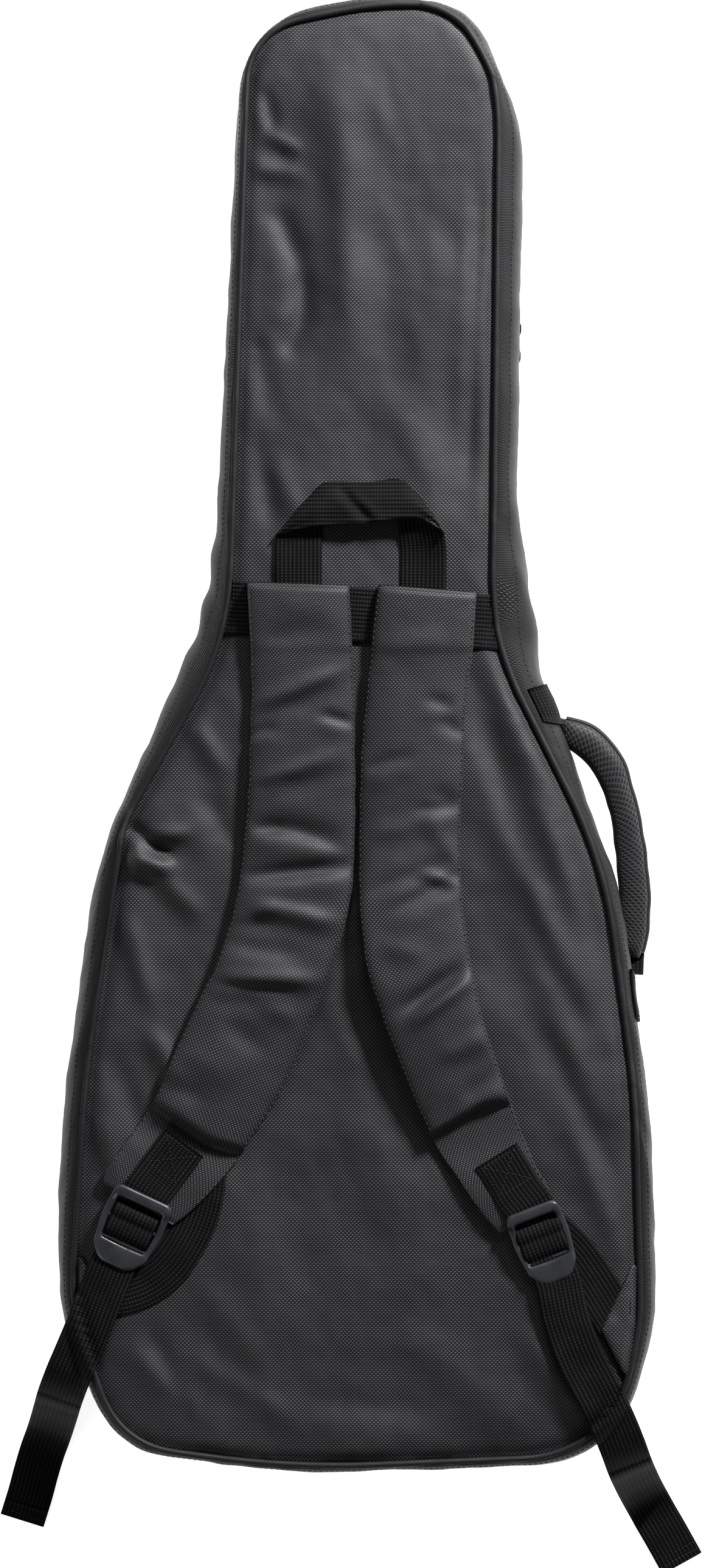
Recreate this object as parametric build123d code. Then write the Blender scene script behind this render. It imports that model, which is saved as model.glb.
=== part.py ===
"""Padded gig bag for an acoustic guitar, lying on its front pocket with the straps upwards.

Millimetres. The origin is on the resting plane, mid-length. +X is to the right of somebody who
looks down at the back panel, +Y points to the head end and +Z is up.
"""
from build123d import *
import math
import os

# ---- Driving dimensions ------------------------------------------------------------------
# Outline of the bag at its gusset: corner x, corner y and the radius that rounds it.
OUTLINE = [
    (-85.6, 528.2, 46),
    (-105.9, 98.9, 265),
    (-188.0, -86.9, 403),
    (-215.8, -293.5, 788),
    (-215.8, -411.3, 148),
    (-177.1, -516.1, 33),
    (-46.8, -533.5, 797),
    (188.9, -525.6, 44),
    (215.8, -427.6, 148),
    (215.8, -297.9, 868),
    (194.6, -109.4, 506),
    (113.0, 99.7, 222),
    (119.6, 434.2, 100),
    (83.4, 528.2, 38),
    (6.2, 533.5, 400),
]

SKIN = 2.0
LINING = 1.0
PADDING = 8.0
SIDE_PADDING = 5.5
POCKET_DEPTH = 10.0
PIPING = 5.0
PANEL_INSET = 9.0
TURN_IN = 26.0

POCKET_TOP_Y = 20.0
POCKET_INSET = 30.0

FRONT_Z = SKIN + POCKET_DEPTH
ZIPPER_Z = 62.5
BACK_Z = 118.0
GUSSET_EDGE = 4.5
TEETH_GAP = 0.3
TEETH_HEIGHT = 1.5
TAPE_INSET = 2.2
TAPE = 1.0
SPINE_TOP_Y = 430.0
SPINE_BOTTOM_Y = -350.0

WEBBING = 34.0
WEBBING_THICKNESS = 1.5
LAYER_GAP = 0.2
WEBBING_Z = BACK_Z + LAYER_GAP

BAND_BOTTOM_Y = 66.5
BAND_LEFT = (-96.0, 111.0)
BAND_RIGHT = (103.0, 101.0)
BAND_THICKNESS = 2.0

PAD_Z = BACK_Z + 2.2
PAD_BACKING = 1.5
PAD_FOAM = 9.0
PAD_COVER = 1.5
PAD_TOP_Z = PAD_Z + PAD_BACKING + PAD_FOAM + PAD_COVER

# Shoulder pads: corner x, corner y and radius, round the pad.
LEFT_PAD = [
    (-78.5, 65.0, 3),
    (-76.0, -20.0, 400),
    (-84.0, -100.0, 250),
    (-102.0, -170.0, 300),
    (-148.0, -270.0, 300),
    (-172.0, -318.0, 6),
    (-126.5, -339.5, 14),
    (-61.0, -262.0, 200),
    (-14.0, -153.0, 300),
    (-1.5, -90.0, 300),
    (0.5, 5.0, 600),
    (-5.0, 65.0, 3),
]
RIGHT_PAD = [
    (17.0, 65.0, 3),
    (5.0, 5.0, 400),
    (2.0, -90.0, 400),
    (10.0, -170.0, 400),
    (41.0, -260.0, 300),
    (80.0, -328.0, 60),
    (99.5, -351.0, 6),
    (145.5, -331.0, 6),
    (124.0, -288.0, 100),
    (82.0, -170.0, 400),
    (74.0, -85.0, 400),
    (78.0, 5.0, 400),
    (87.0, 65.0, 3),
]

# Middle of each pad's lower end, and the way the patch and the buckle point, from the +X axis.
LEFT_END = (-149.5, -330.0)
LEFT_PATCH_TURN = 234.0
LEFT_BUCKLE_TURN = 245.0
RIGHT_END = (122.5, -341.5)
RIGHT_PATCH_TURN = 300.0
RIGHT_BUCKLE_TURN = 293.3

BUCKLE_WIDTH = 44.0
BUCKLE_LENGTH = 52.0
BUCKLE_THICKNESS = 6.0
BUCKLE_BAR = 6.5
BUCKLE_GAP = 2.5
BUCKLE_Z = BACK_Z + 4.0
PATCH_LENGTH = 46.0

# Tails: where the centre line leaves the buckle, the way it points, how far it runs over the
# panel before it drops, how far out it meets the floor, and its whole reach.
LEFT_TAIL = {"start": (-177.5, -388.0), "turn": 251.0, "panel": 92.0, "floor": 124.0, "reach": 200.0}
RIGHT_TAIL = {"start": (143.0, -399.5), "turn": 294.7, "panel": 140.0, "floor": 172.0, "reach": 228.0}
TAIL_Z = BACK_Z + 6.5
TAIL_BEND = 8.0

GRAB_LEG = 32.0
SIDE_GRIP_WIDTH = 21.0
SIDE_GRIP_THICKNESS = 9.0
SIDE_GRIP_Z = 86.0


# ---- Shared shapes -----------------------------------------------------------------------
def save(name, shape):
    """Writes one sub-part."""
    export_step(shape, f"parts/{name}.step")


def rounded(corners):
    """Face inside a closed outline of corners with radii."""
    points = [(x, y) for x, y, radius in corners]
    radii = [radius for x, y, radius in corners]
    return make_face(FilletPolyline(*points, radius=radii, close=True).edges()).face()


def bag(inset):
    """Face of the bag's outline, moved inwards."""
    return offset(rounded(OUTLINE), -inset).face() if inset else rounded(OUTLINE)


def slab(face, low, high):
    """A flat face extruded between two heights."""
    return extrude(Pos(0, 0, low) * face, high - low, dir=(0, 0, 1))


def ring(outer, inner, low, high):
    """A wall round the bag between two insets."""
    return slab(bag(outer), low, high) - slab(bag(inner), low - 1, high + 1)


def hollow_core(inset, low, high, panel_low):
    """Solid whose wall stands straight and turns in towards the panel."""
    turn = math.degrees(math.atan(PANEL_INSET / TURN_IN))
    if panel_low:
        straight = slab(bag(inset), low + TURN_IN, high)
        turned = extrude(Pos(0, 0, low + TURN_IN) * bag(inset), TURN_IN, dir=(0, 0, -1), taper=turn)
    else:
        straight = slab(bag(inset), low, high - TURN_IN)
        turned = extrude(Pos(0, 0, high - TURN_IN) * bag(inset), TURN_IN, dir=(0, 0, 1), taper=turn)
    return straight + turned


def gusset(outer, inner, low, high, panel_low):
    """Side wall of one shell between two insets."""
    return hollow_core(outer, low, high, panel_low) - hollow_core(inner, low, high, panel_low)


def spine_box(low, high):
    """Space on the left side where the two shells are joined with no zipper."""
    depth = 400.0
    height = SPINE_TOP_Y - SPINE_BOTTOM_Y
    box = Box(depth, height, high - low, align=(Align.MAX, Align.MIN, Align.MIN))
    return Pos(-60, SPINE_BOTTOM_Y, low) * box


def strip(points, radius, width, low, high):
    """Flat band of one width along a route in plan."""
    path = FilletPolyline(*points, radius=radius)
    return slab(trace(path, line_width=width).face(), low, high)


def block(length, width, low, high, along=0.0, across=0.0):
    """Box from x = along, centred on y = across."""
    box = Box(length, width, high - low, align=(Align.MIN, Align.CENTER, Align.MIN))
    return Pos(along, across, low) * box


def placed(shape, point, turn):
    """A shape drawn along +X, set down at a point and turned in plan."""
    return Pos(point[0], point[1], 0) * Rot(0, 0, turn) * shape


# ---- Front shell -------------------------------------------------------------------------
def pocket_face(inset):
    """Outline of the front pocket: the bag's lower part with a straight mouth."""
    below = Rectangle(600, 700, align=(Align.CENTER, Align.MAX))
    return (bag(POCKET_INSET + inset) & (Pos(0, POCKET_TOP_Y - inset) * below)).face()


def pocket_panel():
    return slab(pocket_face(0), 0, SKIN)


def pocket_gusset():
    """Wall of the pocket, open at the mouth."""
    wall = slab(pocket_face(0), SKIN, FRONT_Z) - slab(pocket_face(1.5), 0, FRONT_Z + 1)
    mouth = Pos(0, POCKET_TOP_Y + 1, 0) * Box(190, 30, 40)
    return wall - mouth


def pocket_rows(thickness, depth, rise):
    """Two rows along the pocket's mouth, one on each side of the gap."""
    width = 186.0
    low = Pos(0, POCKET_TOP_Y - depth / 2, SKIN + rise + thickness / 2)
    high = Pos(0, POCKET_TOP_Y - depth / 2, FRONT_Z - rise - thickness / 2)
    row = Box(width, depth, thickness)
    return Compound([low * row, high * row])


def pocket_zipper_tape():
    return pocket_rows(0.8, 10.0, 0.0)


def pocket_zipper_teeth():
    return pocket_rows(1.2, 3.0, 0.8)


def pocket_slider():
    """Slider of the pocket, between the two rows at the left end of the mouth."""
    body = Pos(-82, POCKET_TOP_Y, FRONT_Z - POCKET_DEPTH / 2) * Box(10, 7, 5)
    return fillet(body.edges().filter_by(Axis.Z), 2)


def pocket_pull():
    """Pull tab in front of the pocket slider."""
    tab = Pos(-67.5, POCKET_TOP_Y + 5.0, FRONT_Z - POCKET_DEPTH / 2) * Box(31, 1.6, 6)
    return fillet(tab.edges().filter_by(Axis.Y), 2)


def front_panel():
    return slab(bag(PANEL_INSET), FRONT_Z, FRONT_Z + SKIN)


def front_gusset():
    low = FRONT_Z + SKIN
    return gusset(0, SKIN, low, ZIPPER_Z - GUSSET_EDGE, True)


def front_side_padding():
    low = FRONT_Z + SKIN
    inner = TAPE_INSET + TAPE + 0.3
    return gusset(inner, inner + SIDE_PADDING, low, ZIPPER_Z - 7, True)


def front_padding():
    low = FRONT_Z + SKIN
    return slab(bag(PANEL_INSET + 10), low, low + PADDING)


def front_lining():
    """Lining of the front shell: a tray over the padding."""
    low = FRONT_Z + SKIN + PADDING
    tray = ring(19.2, 19.2 + LINING, low, ZIPPER_Z - 7)
    return slab(bag(19.2), low, low + LINING) + tray


def head_patch():
    """Wear patch in the lining, under the headstock."""
    low = FRONT_Z + SKIN + PADDING + LINING
    patch = Pos(5, 445, low) * Box(130, 110, 1.2, align=(Align.CENTER, Align.CENTER, Align.MIN))
    return fillet(patch.edges().filter_by(Axis.Z), 12)


def end_patch():
    """Wear patch in the lining, where the guitar's end pin stands."""
    low = FRONT_Z + SKIN + PADDING + LINING
    patch = Pos(5, -455, low) * Box(150, 90, 1.2, align=(Align.CENTER, Align.CENTER, Align.MIN))
    return fillet(patch.edges().filter_by(Axis.Z), 12)


def piping(low):
    """Cord sewn into a panel's edge seam."""
    return ring(PANEL_INSET - PIPING, PANEL_INSET, low, low + PIPING)


def front_piping():
    """Piping of the front panel, outside the foot of the gusset."""
    wall = ring(PANEL_INSET - 4, PANEL_INSET, FRONT_Z - 2.5, FRONT_Z + SKIN)
    return wall - slab(bag(PANEL_INSET), FRONT_Z, FRONT_Z + SKIN)


def zipper_tape(low, high):
    return ring(TAPE_INSET, TAPE_INSET + TAPE, low, high) - spine_box(low - 1, high + 1)


def zipper_teeth(low):
    wall = ring(TAPE_INSET - 0.9, TAPE_INSET + TAPE + 0.9, low, low + TEETH_HEIGHT)
    return wall - spine_box(low - 1, low + TEETH_HEIGHT + 1)


def front_zipper_tape():
    return zipper_tape(ZIPPER_Z - 9, ZIPPER_Z - TEETH_GAP / 2 - TEETH_HEIGHT)


def front_zipper_teeth():
    return zipper_teeth(ZIPPER_Z - TEETH_GAP / 2 - TEETH_HEIGHT)


def spine_strip():
    """Fabric that joins the shells along the left side and folds as the bag opens."""
    low = ZIPPER_Z - 6.5
    high = ZIPPER_Z + 6.5
    wall = ring(TAPE_INSET, TAPE_INSET + TAPE, low, high)
    return (wall & spine_box(low, high)).solids().sort_by(SortBy.VOLUME)[-1]


# ---- Zipper sliders ----------------------------------------------------------------------
def slider(y):
    """Slider that rides outside the teeth on the straight right side of the neck."""
    x = neck_edge(y)
    body = Pos(x + 0.3, y, ZIPPER_Z) * Box(2.4, 12, 8)
    lug = Pos(x + 2.0, y, ZIPPER_Z) * Box(1.6, 5, 3)
    return fillet(body.edges().filter_by(Axis.X), 2) + lug


def neck_edge(y):
    """X of the outline on the right side of the neck."""
    low_x, low_y, low_radius = OUTLINE[11]
    high_x, high_y, high_radius = OUTLINE[12]
    return low_x + (high_x - low_x) * (y - low_y) / (high_y - low_y)


def pull(y):
    """Cord-and-tab pull that hangs from a slider."""
    x = neck_edge(y)
    tab = Pos(x + 4.6, y, ZIPPER_Z - 13) * Box(1.6, 8, 28.4)
    return fillet(tab.edges().filter_by(Axis.X), 1)


# ---- Back shell --------------------------------------------------------------------------
def back_panel():
    return slab(bag(PANEL_INSET), BACK_Z - SKIN, BACK_Z)


def back_gusset():
    return gusset(0, SKIN, ZIPPER_Z + GUSSET_EDGE, BACK_Z - SKIN, False)


def back_side_padding():
    inner = TAPE_INSET + TAPE + 0.3
    return gusset(inner, inner + SIDE_PADDING, ZIPPER_Z + 7, BACK_Z - SKIN, False)


def back_padding():
    high = BACK_Z - SKIN
    return slab(bag(PANEL_INSET + 10), high - PADDING, high)


def back_lining():
    """Lining of the back shell: a tray under the padding."""
    high = BACK_Z - SKIN - PADDING
    tray = ring(19.2, 19.2 + LINING, ZIPPER_Z + 7, high)
    return slab(bag(19.2), high - LINING, high) + tray


def back_piping():
    """Piping of the back panel, outside the head of the gusset."""
    wall = ring(PANEL_INSET - 4, PANEL_INSET, BACK_Z - SKIN, BACK_Z + 2.5)
    return wall - slab(bag(PANEL_INSET), BACK_Z - SKIN, BACK_Z)


def back_zipper_tape():
    return zipper_tape(ZIPPER_Z + TEETH_GAP / 2 + TEETH_HEIGHT, ZIPPER_Z + 9)


def back_zipper_teeth():
    return zipper_teeth(ZIPPER_Z + TEETH_GAP / 2)


def strap_band():
    """Cross band that is sewn over the heads of the straps and the grab handle."""
    low_left = (BAND_LEFT[0] - 1.0, BAND_BOTTOM_Y + 7)
    low_right = (BAND_RIGHT[0] + 1.0, BAND_BOTTOM_Y)
    corners = [BAND_LEFT, BAND_RIGHT, low_right, (85.0, BAND_BOTTOM_Y), (-80.0, BAND_BOTTOM_Y), low_left]
    face = make_face(Polyline(*corners, close=True).edges()).face()
    return slab(face, WEBBING_Z, WEBBING_Z + BAND_THICKNESS)


LEFT_ANCHOR = [(-208.0, -372.0), (-178.5, -412.0), (-203.0, -450.0)]
RIGHT_ANCHOR = [(208.0, -378.0), (178.5, -430.0), (203.0, -470.0)]


def anchor(corners, thickness=1.6):
    """Folded triangle that holds a strap's webbing, inside the piping."""
    face = make_face(Polyline(*corners, close=True).edges()).face()
    inside = (face & bag(PANEL_INSET + LAYER_GAP)).face()
    return slab(inside, WEBBING_Z, WEBBING_Z + thickness)


def left_anchor():
    return anchor(LEFT_ANCHOR)


def right_anchor():
    return anchor(RIGHT_ANCHOR)


def left_lower_webbing():
    """Webbing from under the left pad to its anchor."""
    route = [(-112.0, -330.0), (-128.0, -385.0), (-178.0, -399.0)]
    band = strip(route, 24, WEBBING - 6, WEBBING_Z, WEBBING_Z + WEBBING_THICKNESS)
    return band - anchor(LEFT_ANCHOR, 5.0)


def right_lower_webbing():
    """Webbing from the right buckle to its anchor."""
    route = [(146.0, -362.0), (168.0, -385.0), (182.0, -412.0)]
    band = strip(route, 30, WEBBING - 6, WEBBING_Z, WEBBING_Z + WEBBING_THICKNESS)
    return band - anchor(RIGHT_ANCHOR, 5.0)


# ---- Handles -----------------------------------------------------------------------------
def grab_handle():
    """Flat loop of webbing that lies towards the head."""
    low_y = 115.0
    high_y = 184.0
    left = -58.0
    right = 65.0
    outer = Pos((left + right) / 2, low_y) * Rectangle(
        right - left, high_y - low_y, align=(Align.CENTER, Align.MIN)
    )
    window = Pos((left + right) / 2, low_y - 1) * Rectangle(
        right - left - 2 * GRAB_LEG, high_y - low_y - GRAB_LEG + 1, align=(Align.CENTER, Align.MIN)
    )
    loop = slab((outer - window).face(), PAD_Z, PAD_Z + 3)
    ends = loop.edges().filter_by(Axis.Z).group_by(Axis.Y)[-1]
    return fillet(ends, 14)


SIDE_ROUTE = [
    (156.0, 8.0),
    (176.0, -3.0),
    (195.0, -42.0),
    (205.0, -88.0),
    (208.5, -128.0),
    (211.5, -168.0),
]


def side_handle_grip():
    """Padded middle of the side handle."""
    return strip(SIDE_ROUTE[1:5], [50, 60], SIDE_GRIP_WIDTH, SIDE_GRIP_Z, SIDE_GRIP_Z + SIDE_GRIP_THICKNESS)


def side_handle_webbing():
    """Webbing under the grip, which runs on to the two base patches."""
    top = SIDE_GRIP_Z - LAYER_GAP
    return strip(SIDE_ROUTE, [14, 50, 60, 100], 15, top - WEBBING_THICKNESS, top)


def base_patch(point, turn):
    """Stitched webbing patch that stands against the gusset and holds one end of the side handle."""
    return placed(block(30, 2, SIDE_GRIP_Z - 16, SIDE_GRIP_Z + 2, across=1.4), point, turn)


# ---- Shoulder straps ---------------------------------------------------------------------
def pad_layer(corners, shrink, low, high):
    face = rounded(corners)
    return slab(offset(face, -shrink).face() if shrink else face, low, high)


def strap_backing(corners):
    return pad_layer(corners, 0, PAD_Z, PAD_Z + PAD_BACKING)


def strap_foam(corners):
    low = PAD_Z + PAD_BACKING
    return pad_layer(corners, 1.5, low, low + PAD_FOAM)


def strap_cover(corners):
    return pad_layer(corners, 0, PAD_TOP_Z - PAD_COVER, PAD_TOP_Z)


def strap_patch(end, turn):
    """Webbing patch on the pad's end, which holds the buckle."""
    on_pad = block(PATCH_LENGTH, WEBBING, PAD_TOP_Z, PAD_TOP_Z + WEBBING_THICKNESS, 2 - PATCH_LENGTH)
    return placed(on_pad, end, turn)


def buckle(end, turn):
    """Ladder-lock buckle: a frame with two bars."""
    low = BUCKLE_Z
    high = BUCKLE_Z + BUCKLE_THICKNESS
    frame = block(BUCKLE_LENGTH, BUCKLE_WIDTH, low, high, BUCKLE_GAP)
    frame = fillet(frame.edges().filter_by(Axis.Z), 9)
    window = BUCKLE_LENGTH - 3 * BUCKLE_BAR
    width = BUCKLE_WIDTH - 10
    first = block(window * 0.42, width, low - 1, high + 1, BUCKLE_GAP + BUCKLE_BAR)
    second = block(window * 0.58, width, low - 1, high + 1, BUCKLE_GAP + window * 0.42 + 2 * BUCKLE_BAR)
    return placed(frame - first - second, end, turn)


def tail(spec):
    """Free end of the webbing: it leaves the buckle, drops over the edge and lies on the floor."""
    high = TAIL_Z - WEBBING_THICKNESS / 2
    low = WEBBING_THICKNESS / 2 + 0.1
    line = [(0, high), (spec["panel"], high), (spec["floor"], low), (spec["reach"], low)]
    profile = trace(FilletPolyline(*line, radius=TAIL_BEND), line_width=WEBBING_THICKNESS).face()
    band = extrude(Rot(90, 0, 0) * profile, WEBBING / 2, both=True)
    return placed(band, spec["start"], spec["turn"])


# ---- Build -------------------------------------------------------------------------------
os.makedirs("parts", exist_ok=True)

PLAIN = [
    pocket_panel, pocket_gusset, pocket_zipper_tape, pocket_zipper_teeth, pocket_slider, pocket_pull,
    front_panel, front_padding, front_lining, front_gusset, front_side_padding, front_piping,
    front_zipper_tape, front_zipper_teeth, spine_strip, head_patch, end_patch,
    back_panel, back_padding, back_lining, back_gusset, back_side_padding, back_piping,
    back_zipper_tape, back_zipper_teeth, strap_band, left_anchor, right_anchor,
    left_lower_webbing, right_lower_webbing, grab_handle, side_handle_grip, side_handle_webbing,
]
for make in PLAIN:
    save(make.__name__, make())

for name, y in (("upper", 300.0), ("lower", 280.0)):
    save(f"{name}_slider", slider(y))
    save(f"{name}_pull", pull(y))

save("side_handle_upper_base", base_patch((138.2, 35.0), 291.3))
save("side_handle_lower_base", base_patch((202.3, -177.0), 276.4))

for side, corners, end, patch_turn, turn, spec in (
    ("left", LEFT_PAD, LEFT_END, LEFT_PATCH_TURN, LEFT_BUCKLE_TURN, LEFT_TAIL),
    ("right", RIGHT_PAD, RIGHT_END, RIGHT_PATCH_TURN, RIGHT_BUCKLE_TURN, RIGHT_TAIL),
):
    save(f"{side}_strap_backing", strap_backing(corners))
    save(f"{side}_strap_foam", strap_foam(corners))
    save(f"{side}_strap_cover", strap_cover(corners))
    save(f"{side}_strap_patch", strap_patch(end, patch_turn))
    save(f"{side}_buckle", buckle(end, turn))
    save(f"{side}_tail", tail(spec))
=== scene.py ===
"""Visual model of the padded gig bag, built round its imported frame.

Shapes are worked out in millimetres in the frame's axes and become metres when a mesh is made.
"""
import math
import bpy
import numpy as np
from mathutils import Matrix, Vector
from mathutils.geometry import delaunay_2d_cdt


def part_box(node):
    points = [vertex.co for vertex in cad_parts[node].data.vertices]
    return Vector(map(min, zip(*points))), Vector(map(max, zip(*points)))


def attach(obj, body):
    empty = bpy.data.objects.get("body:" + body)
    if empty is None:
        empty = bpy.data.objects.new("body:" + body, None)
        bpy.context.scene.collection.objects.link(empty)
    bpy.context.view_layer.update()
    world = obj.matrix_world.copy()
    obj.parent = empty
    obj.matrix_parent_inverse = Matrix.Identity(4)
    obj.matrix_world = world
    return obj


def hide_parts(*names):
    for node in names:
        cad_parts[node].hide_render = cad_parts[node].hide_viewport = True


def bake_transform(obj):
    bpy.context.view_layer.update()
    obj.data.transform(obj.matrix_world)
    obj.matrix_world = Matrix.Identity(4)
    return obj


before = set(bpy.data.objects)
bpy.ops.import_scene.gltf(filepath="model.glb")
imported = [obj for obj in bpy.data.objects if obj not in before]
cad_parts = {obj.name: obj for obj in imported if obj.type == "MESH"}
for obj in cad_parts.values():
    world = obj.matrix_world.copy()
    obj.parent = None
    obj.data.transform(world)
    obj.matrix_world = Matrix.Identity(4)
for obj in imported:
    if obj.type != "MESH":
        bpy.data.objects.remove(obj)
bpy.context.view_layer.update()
MM = 0.001


def low(node, axis=2):
    """Lower end of a frame node's box along an axis, in millimetres."""
    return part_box(node)[0][axis] / MM


def high(node, axis=2):
    """Upper end of a frame node's box along an axis, in millimetres."""
    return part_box(node)[1][axis] / MM


BACK_Z = high("back_panel")
FRONT_Z = low("front_panel")
ZIP_Z = 0.5 * (high("front_zipper_teeth") + low("back_zipper_teeth"))
POCKET_TOP = high("pocket_panel", 1)

# Camera: straight above the middle of the bag's length, tails included.
CAMERA_X = -2.9
CAMERA_Y = -34.9
CAMERA_HEIGHT = 4000.0
VIEW_HEIGHT = 1136.8
SENSOR = 36.0

# Heights and insets of the shells, in millimetres; insets are from the gusset's widest line.
WIDE_RISE = 25.0
ZIP_EDGE_RISE = 3.8
ZIP_EDGE_TUCK = 3.6
PADDING = 9.0
LINING_DEPTH = 9.6
LINING_INSET = 19.5
POCKET_INSET = 30.0
SPINE_HALF = 6.4
CORD_RADIUS = 2.5
TEETH_INSET = 2.4
TOOTH_PITCH = 2.6

# Straps: thickness of the pads' foam and of their flat ends, and how far each pad stands off the panel.
PAD_THICK = 11.5
TONGUE_THICK = 2.6
PAD_RISE = {"left": 4.0, "right": 10.0}
BAND_START = (-99, 93.6)
BAND_END = (106, 81.8)
BAND_WIDTH = 38.5
PATCH_WIDTH = 33.5
TAIL_WIDTH = 32.0
LOWER_WIDTH = 31.0
GRIP_Z = 90.0

LATTICE = 128
LATTICE_SHIFT = 1000.0

# Corner x, corner y and radius of the gusset's widest line and of the panel's piping seam.
SIDE_LINE = [
    (-82.5, 514.0, 70), (-104.5, 98.9, 265), (-188.0, -86.9, 403), (-215.8, -293.5, 788),
    (-215.8, -411.3, 148), (-177.1, -516.1, 62), (-46.8, -533.5, 797), (188.9, -525.6, 80),
    (215.8, -427.6, 148), (215.8, -297.9, 868), (192.0, -112.0, 420), (131.0, 52.0, 90),
    (127.0, 95.0, 60), (115.5, 160.0, 120), (121.8, 434.2, 100), (102.8, 482.0, 70),
    (84.5, 527.5, 48), (5.0, 536.0, 150),
]
SEAM_LINE = [
    (-78.6, 512.5, 48), (-93.1, 70.2, 215), (-169.6, -64.4, 70), (-197.4, -250.2, 900),
    (-207.4, -415.3, 148), (-172.0, -514.4, 62), (-46.8, -531.4, 700), (185.5, -521.8, 80),
    (206.5, -421.9, 148), (202.3, -262.1, 577), (180.0, -92.2, 334), (107.0, 52.0, 150),
    (98.8, 95.0, 150), (99.8, 160.0, 400), (103.3, 455.0, 200), (95.0, 499.0, 60),
    (63.0, 530.0, 50), (20.0, 532.5, 250),
]


# ---- Numbers for cloth ---------------------------------------------------------------------
def lattice_noise(x, y, size, seed):
    """Smooth noise from -1 to 1 whose bumps are about size across."""
    table = np.random.default_rng(seed).uniform(-1, 1, (LATTICE, LATTICE))
    u = np.asarray(x) / size + LATTICE_SHIFT
    v = np.asarray(y) / size + LATTICE_SHIFT
    iu = np.floor(u).astype(int)
    iv = np.floor(v).astype(int)
    fu = u - iu
    fv = v - iv
    fu = fu * fu * (3 - 2 * fu)
    fv = fv * fv * (3 - 2 * fv)
    a = table[iu % LATTICE, iv % LATTICE]
    b = table[(iu + 1) % LATTICE, iv % LATTICE]
    c = table[iu % LATTICE, (iv + 1) % LATTICE]
    d = table[(iu + 1) % LATTICE, (iv + 1) % LATTICE]
    return (a * (1 - fu) + b * fu) * (1 - fv) + (c * (1 - fu) + d * fu) * fv


def line_noise(along, size, seed, row=0):
    """The same noise along a line; each row has its own."""
    return lattice_noise(along, along * 0 + row, size, seed)


def ridge_field(x, y, ridges):
    """Height of folds: each is a ridge along a segment with a shallow valley beside it."""
    z = np.zeros(np.shape(x))
    for x0, y0, x1, y1, width, height in ridges:
        dx = x1 - x0
        dy = y1 - y0
        length = math.hypot(dx, dy)
        along = ((x - x0) * dx + (y - y0) * dy) / length**2
        across = ((x - x0) * dy - (y - y0) * dx) / length / width
        fade = np.exp(-np.abs((along - 0.5) / 0.47) ** 4)
        z = z + height * fade * (np.exp(-(across**2)) - 0.45 * np.exp(-(((across - 1.9) / 1.5) ** 2)))
    return z


def distance_to_loop(x, y, loop):
    """Shortest distance from points to a closed line."""
    a = loop
    d = np.roll(loop, -1, axis=0) - a
    span = np.maximum((d**2).sum(1), 1e-9)
    out = np.empty(len(x))
    for start in range(0, len(x), 3000):
        px = x[start:start + 3000, None] - a[None, :, 0]
        py = y[start:start + 3000, None] - a[None, :, 1]
        t = np.clip((px * d[:, 0] + py * d[:, 1]) / span, 0, 1)
        gap = (px - t * d[:, 0]) ** 2 + (py - t * d[:, 1]) ** 2
        out[start:start + 3000] = np.sqrt(gap.min(1))
    return out


def rounded_loop(corners, counts=None, step=4.0):
    """Points round a loop of rounded corners, and how many each arc and straight has."""
    n = len(corners)
    arcs = []
    for i, (cx, cy, radius) in enumerate(corners):
        before = np.array(corners[i - 1][:2]) - (cx, cy)
        after = np.array(corners[(i + 1) % n][:2]) - (cx, cy)
        before = before / np.linalg.norm(before)
        after = after / np.linalg.norm(after)
        half = math.acos(np.clip(before @ after, -1, 1)) / 2
        start = np.array((cx, cy)) + before * radius / math.tan(half)
        bisector = (before + after) / np.linalg.norm(before + after)
        centre = np.array((cx, cy)) + bisector * radius / math.sin(half)
        arcs.append((centre, start, math.pi - 2 * half, np.sign(before[0] * after[1] - before[1] * after[0])))
    made = []
    points = []
    for i, (centre, start, turn, sign) in enumerate(arcs):
        radius = np.linalg.norm(start - centre)
        number = counts[i][0] if counts else max(3, round(radius * turn / step))
        angles = -sign * np.linspace(0, turn, number)
        arm = start - centre
        arc = np.stack([
            centre[0] + arm[0] * np.cos(angles) - arm[1] * np.sin(angles),
            centre[1] + arm[0] * np.sin(angles) + arm[1] * np.cos(angles),
        ], 1)
        ahead = arcs[(i + 1) % n][1]
        gap = np.linalg.norm(ahead - arc[-1])
        between = counts[i][1] if counts else max(1, round(gap / step))
        points.extend(arc)
        points.extend(arc[-1] + (ahead - arc[-1]) * k / between for k in range(1, between))
        made.append((number, between))
    return np.array(points), made


def loop_lengths(loop):
    """Distance from the loop's start to each point, and the whole length last."""
    steps = np.linalg.norm(np.roll(loop, -1, axis=0) - loop, axis=1)
    return np.concatenate([[0], np.cumsum(steps)])


def line_lengths(line):
    """Distance from an open line's start to each point."""
    return np.concatenate([[0], np.cumsum(np.linalg.norm(np.diff(line, axis=0), axis=1))])


def ring_angles(count):
    """Angles of evenly spaced points round a circle."""
    return np.linspace(0, 2 * math.pi, count + 1)[:-1]


def at_height(plan, z):
    """A plan line at one height."""
    return np.column_stack([plan, np.full(len(plan), float(z))])


def facing(line, z=1.0):
    """The same upward or downward direction for each point of a line."""
    return np.tile((0.0, 0.0, z), (len(line), 1))


def signed_area(loop):
    """Area inside a closed plan line, below zero when the line runs clockwise."""
    return 0.5 * np.sum(loop[:, 0] * np.roll(loop[:, 1], -1) - np.roll(loop[:, 0], -1) * loop[:, 1])


def smooth_closed(values, passes):
    """Evens out values round a loop."""
    for _ in range(passes):
        values = (np.roll(values, 1, axis=0) + 2 * values + np.roll(values, -1, axis=0)) / 4
    return values


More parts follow.
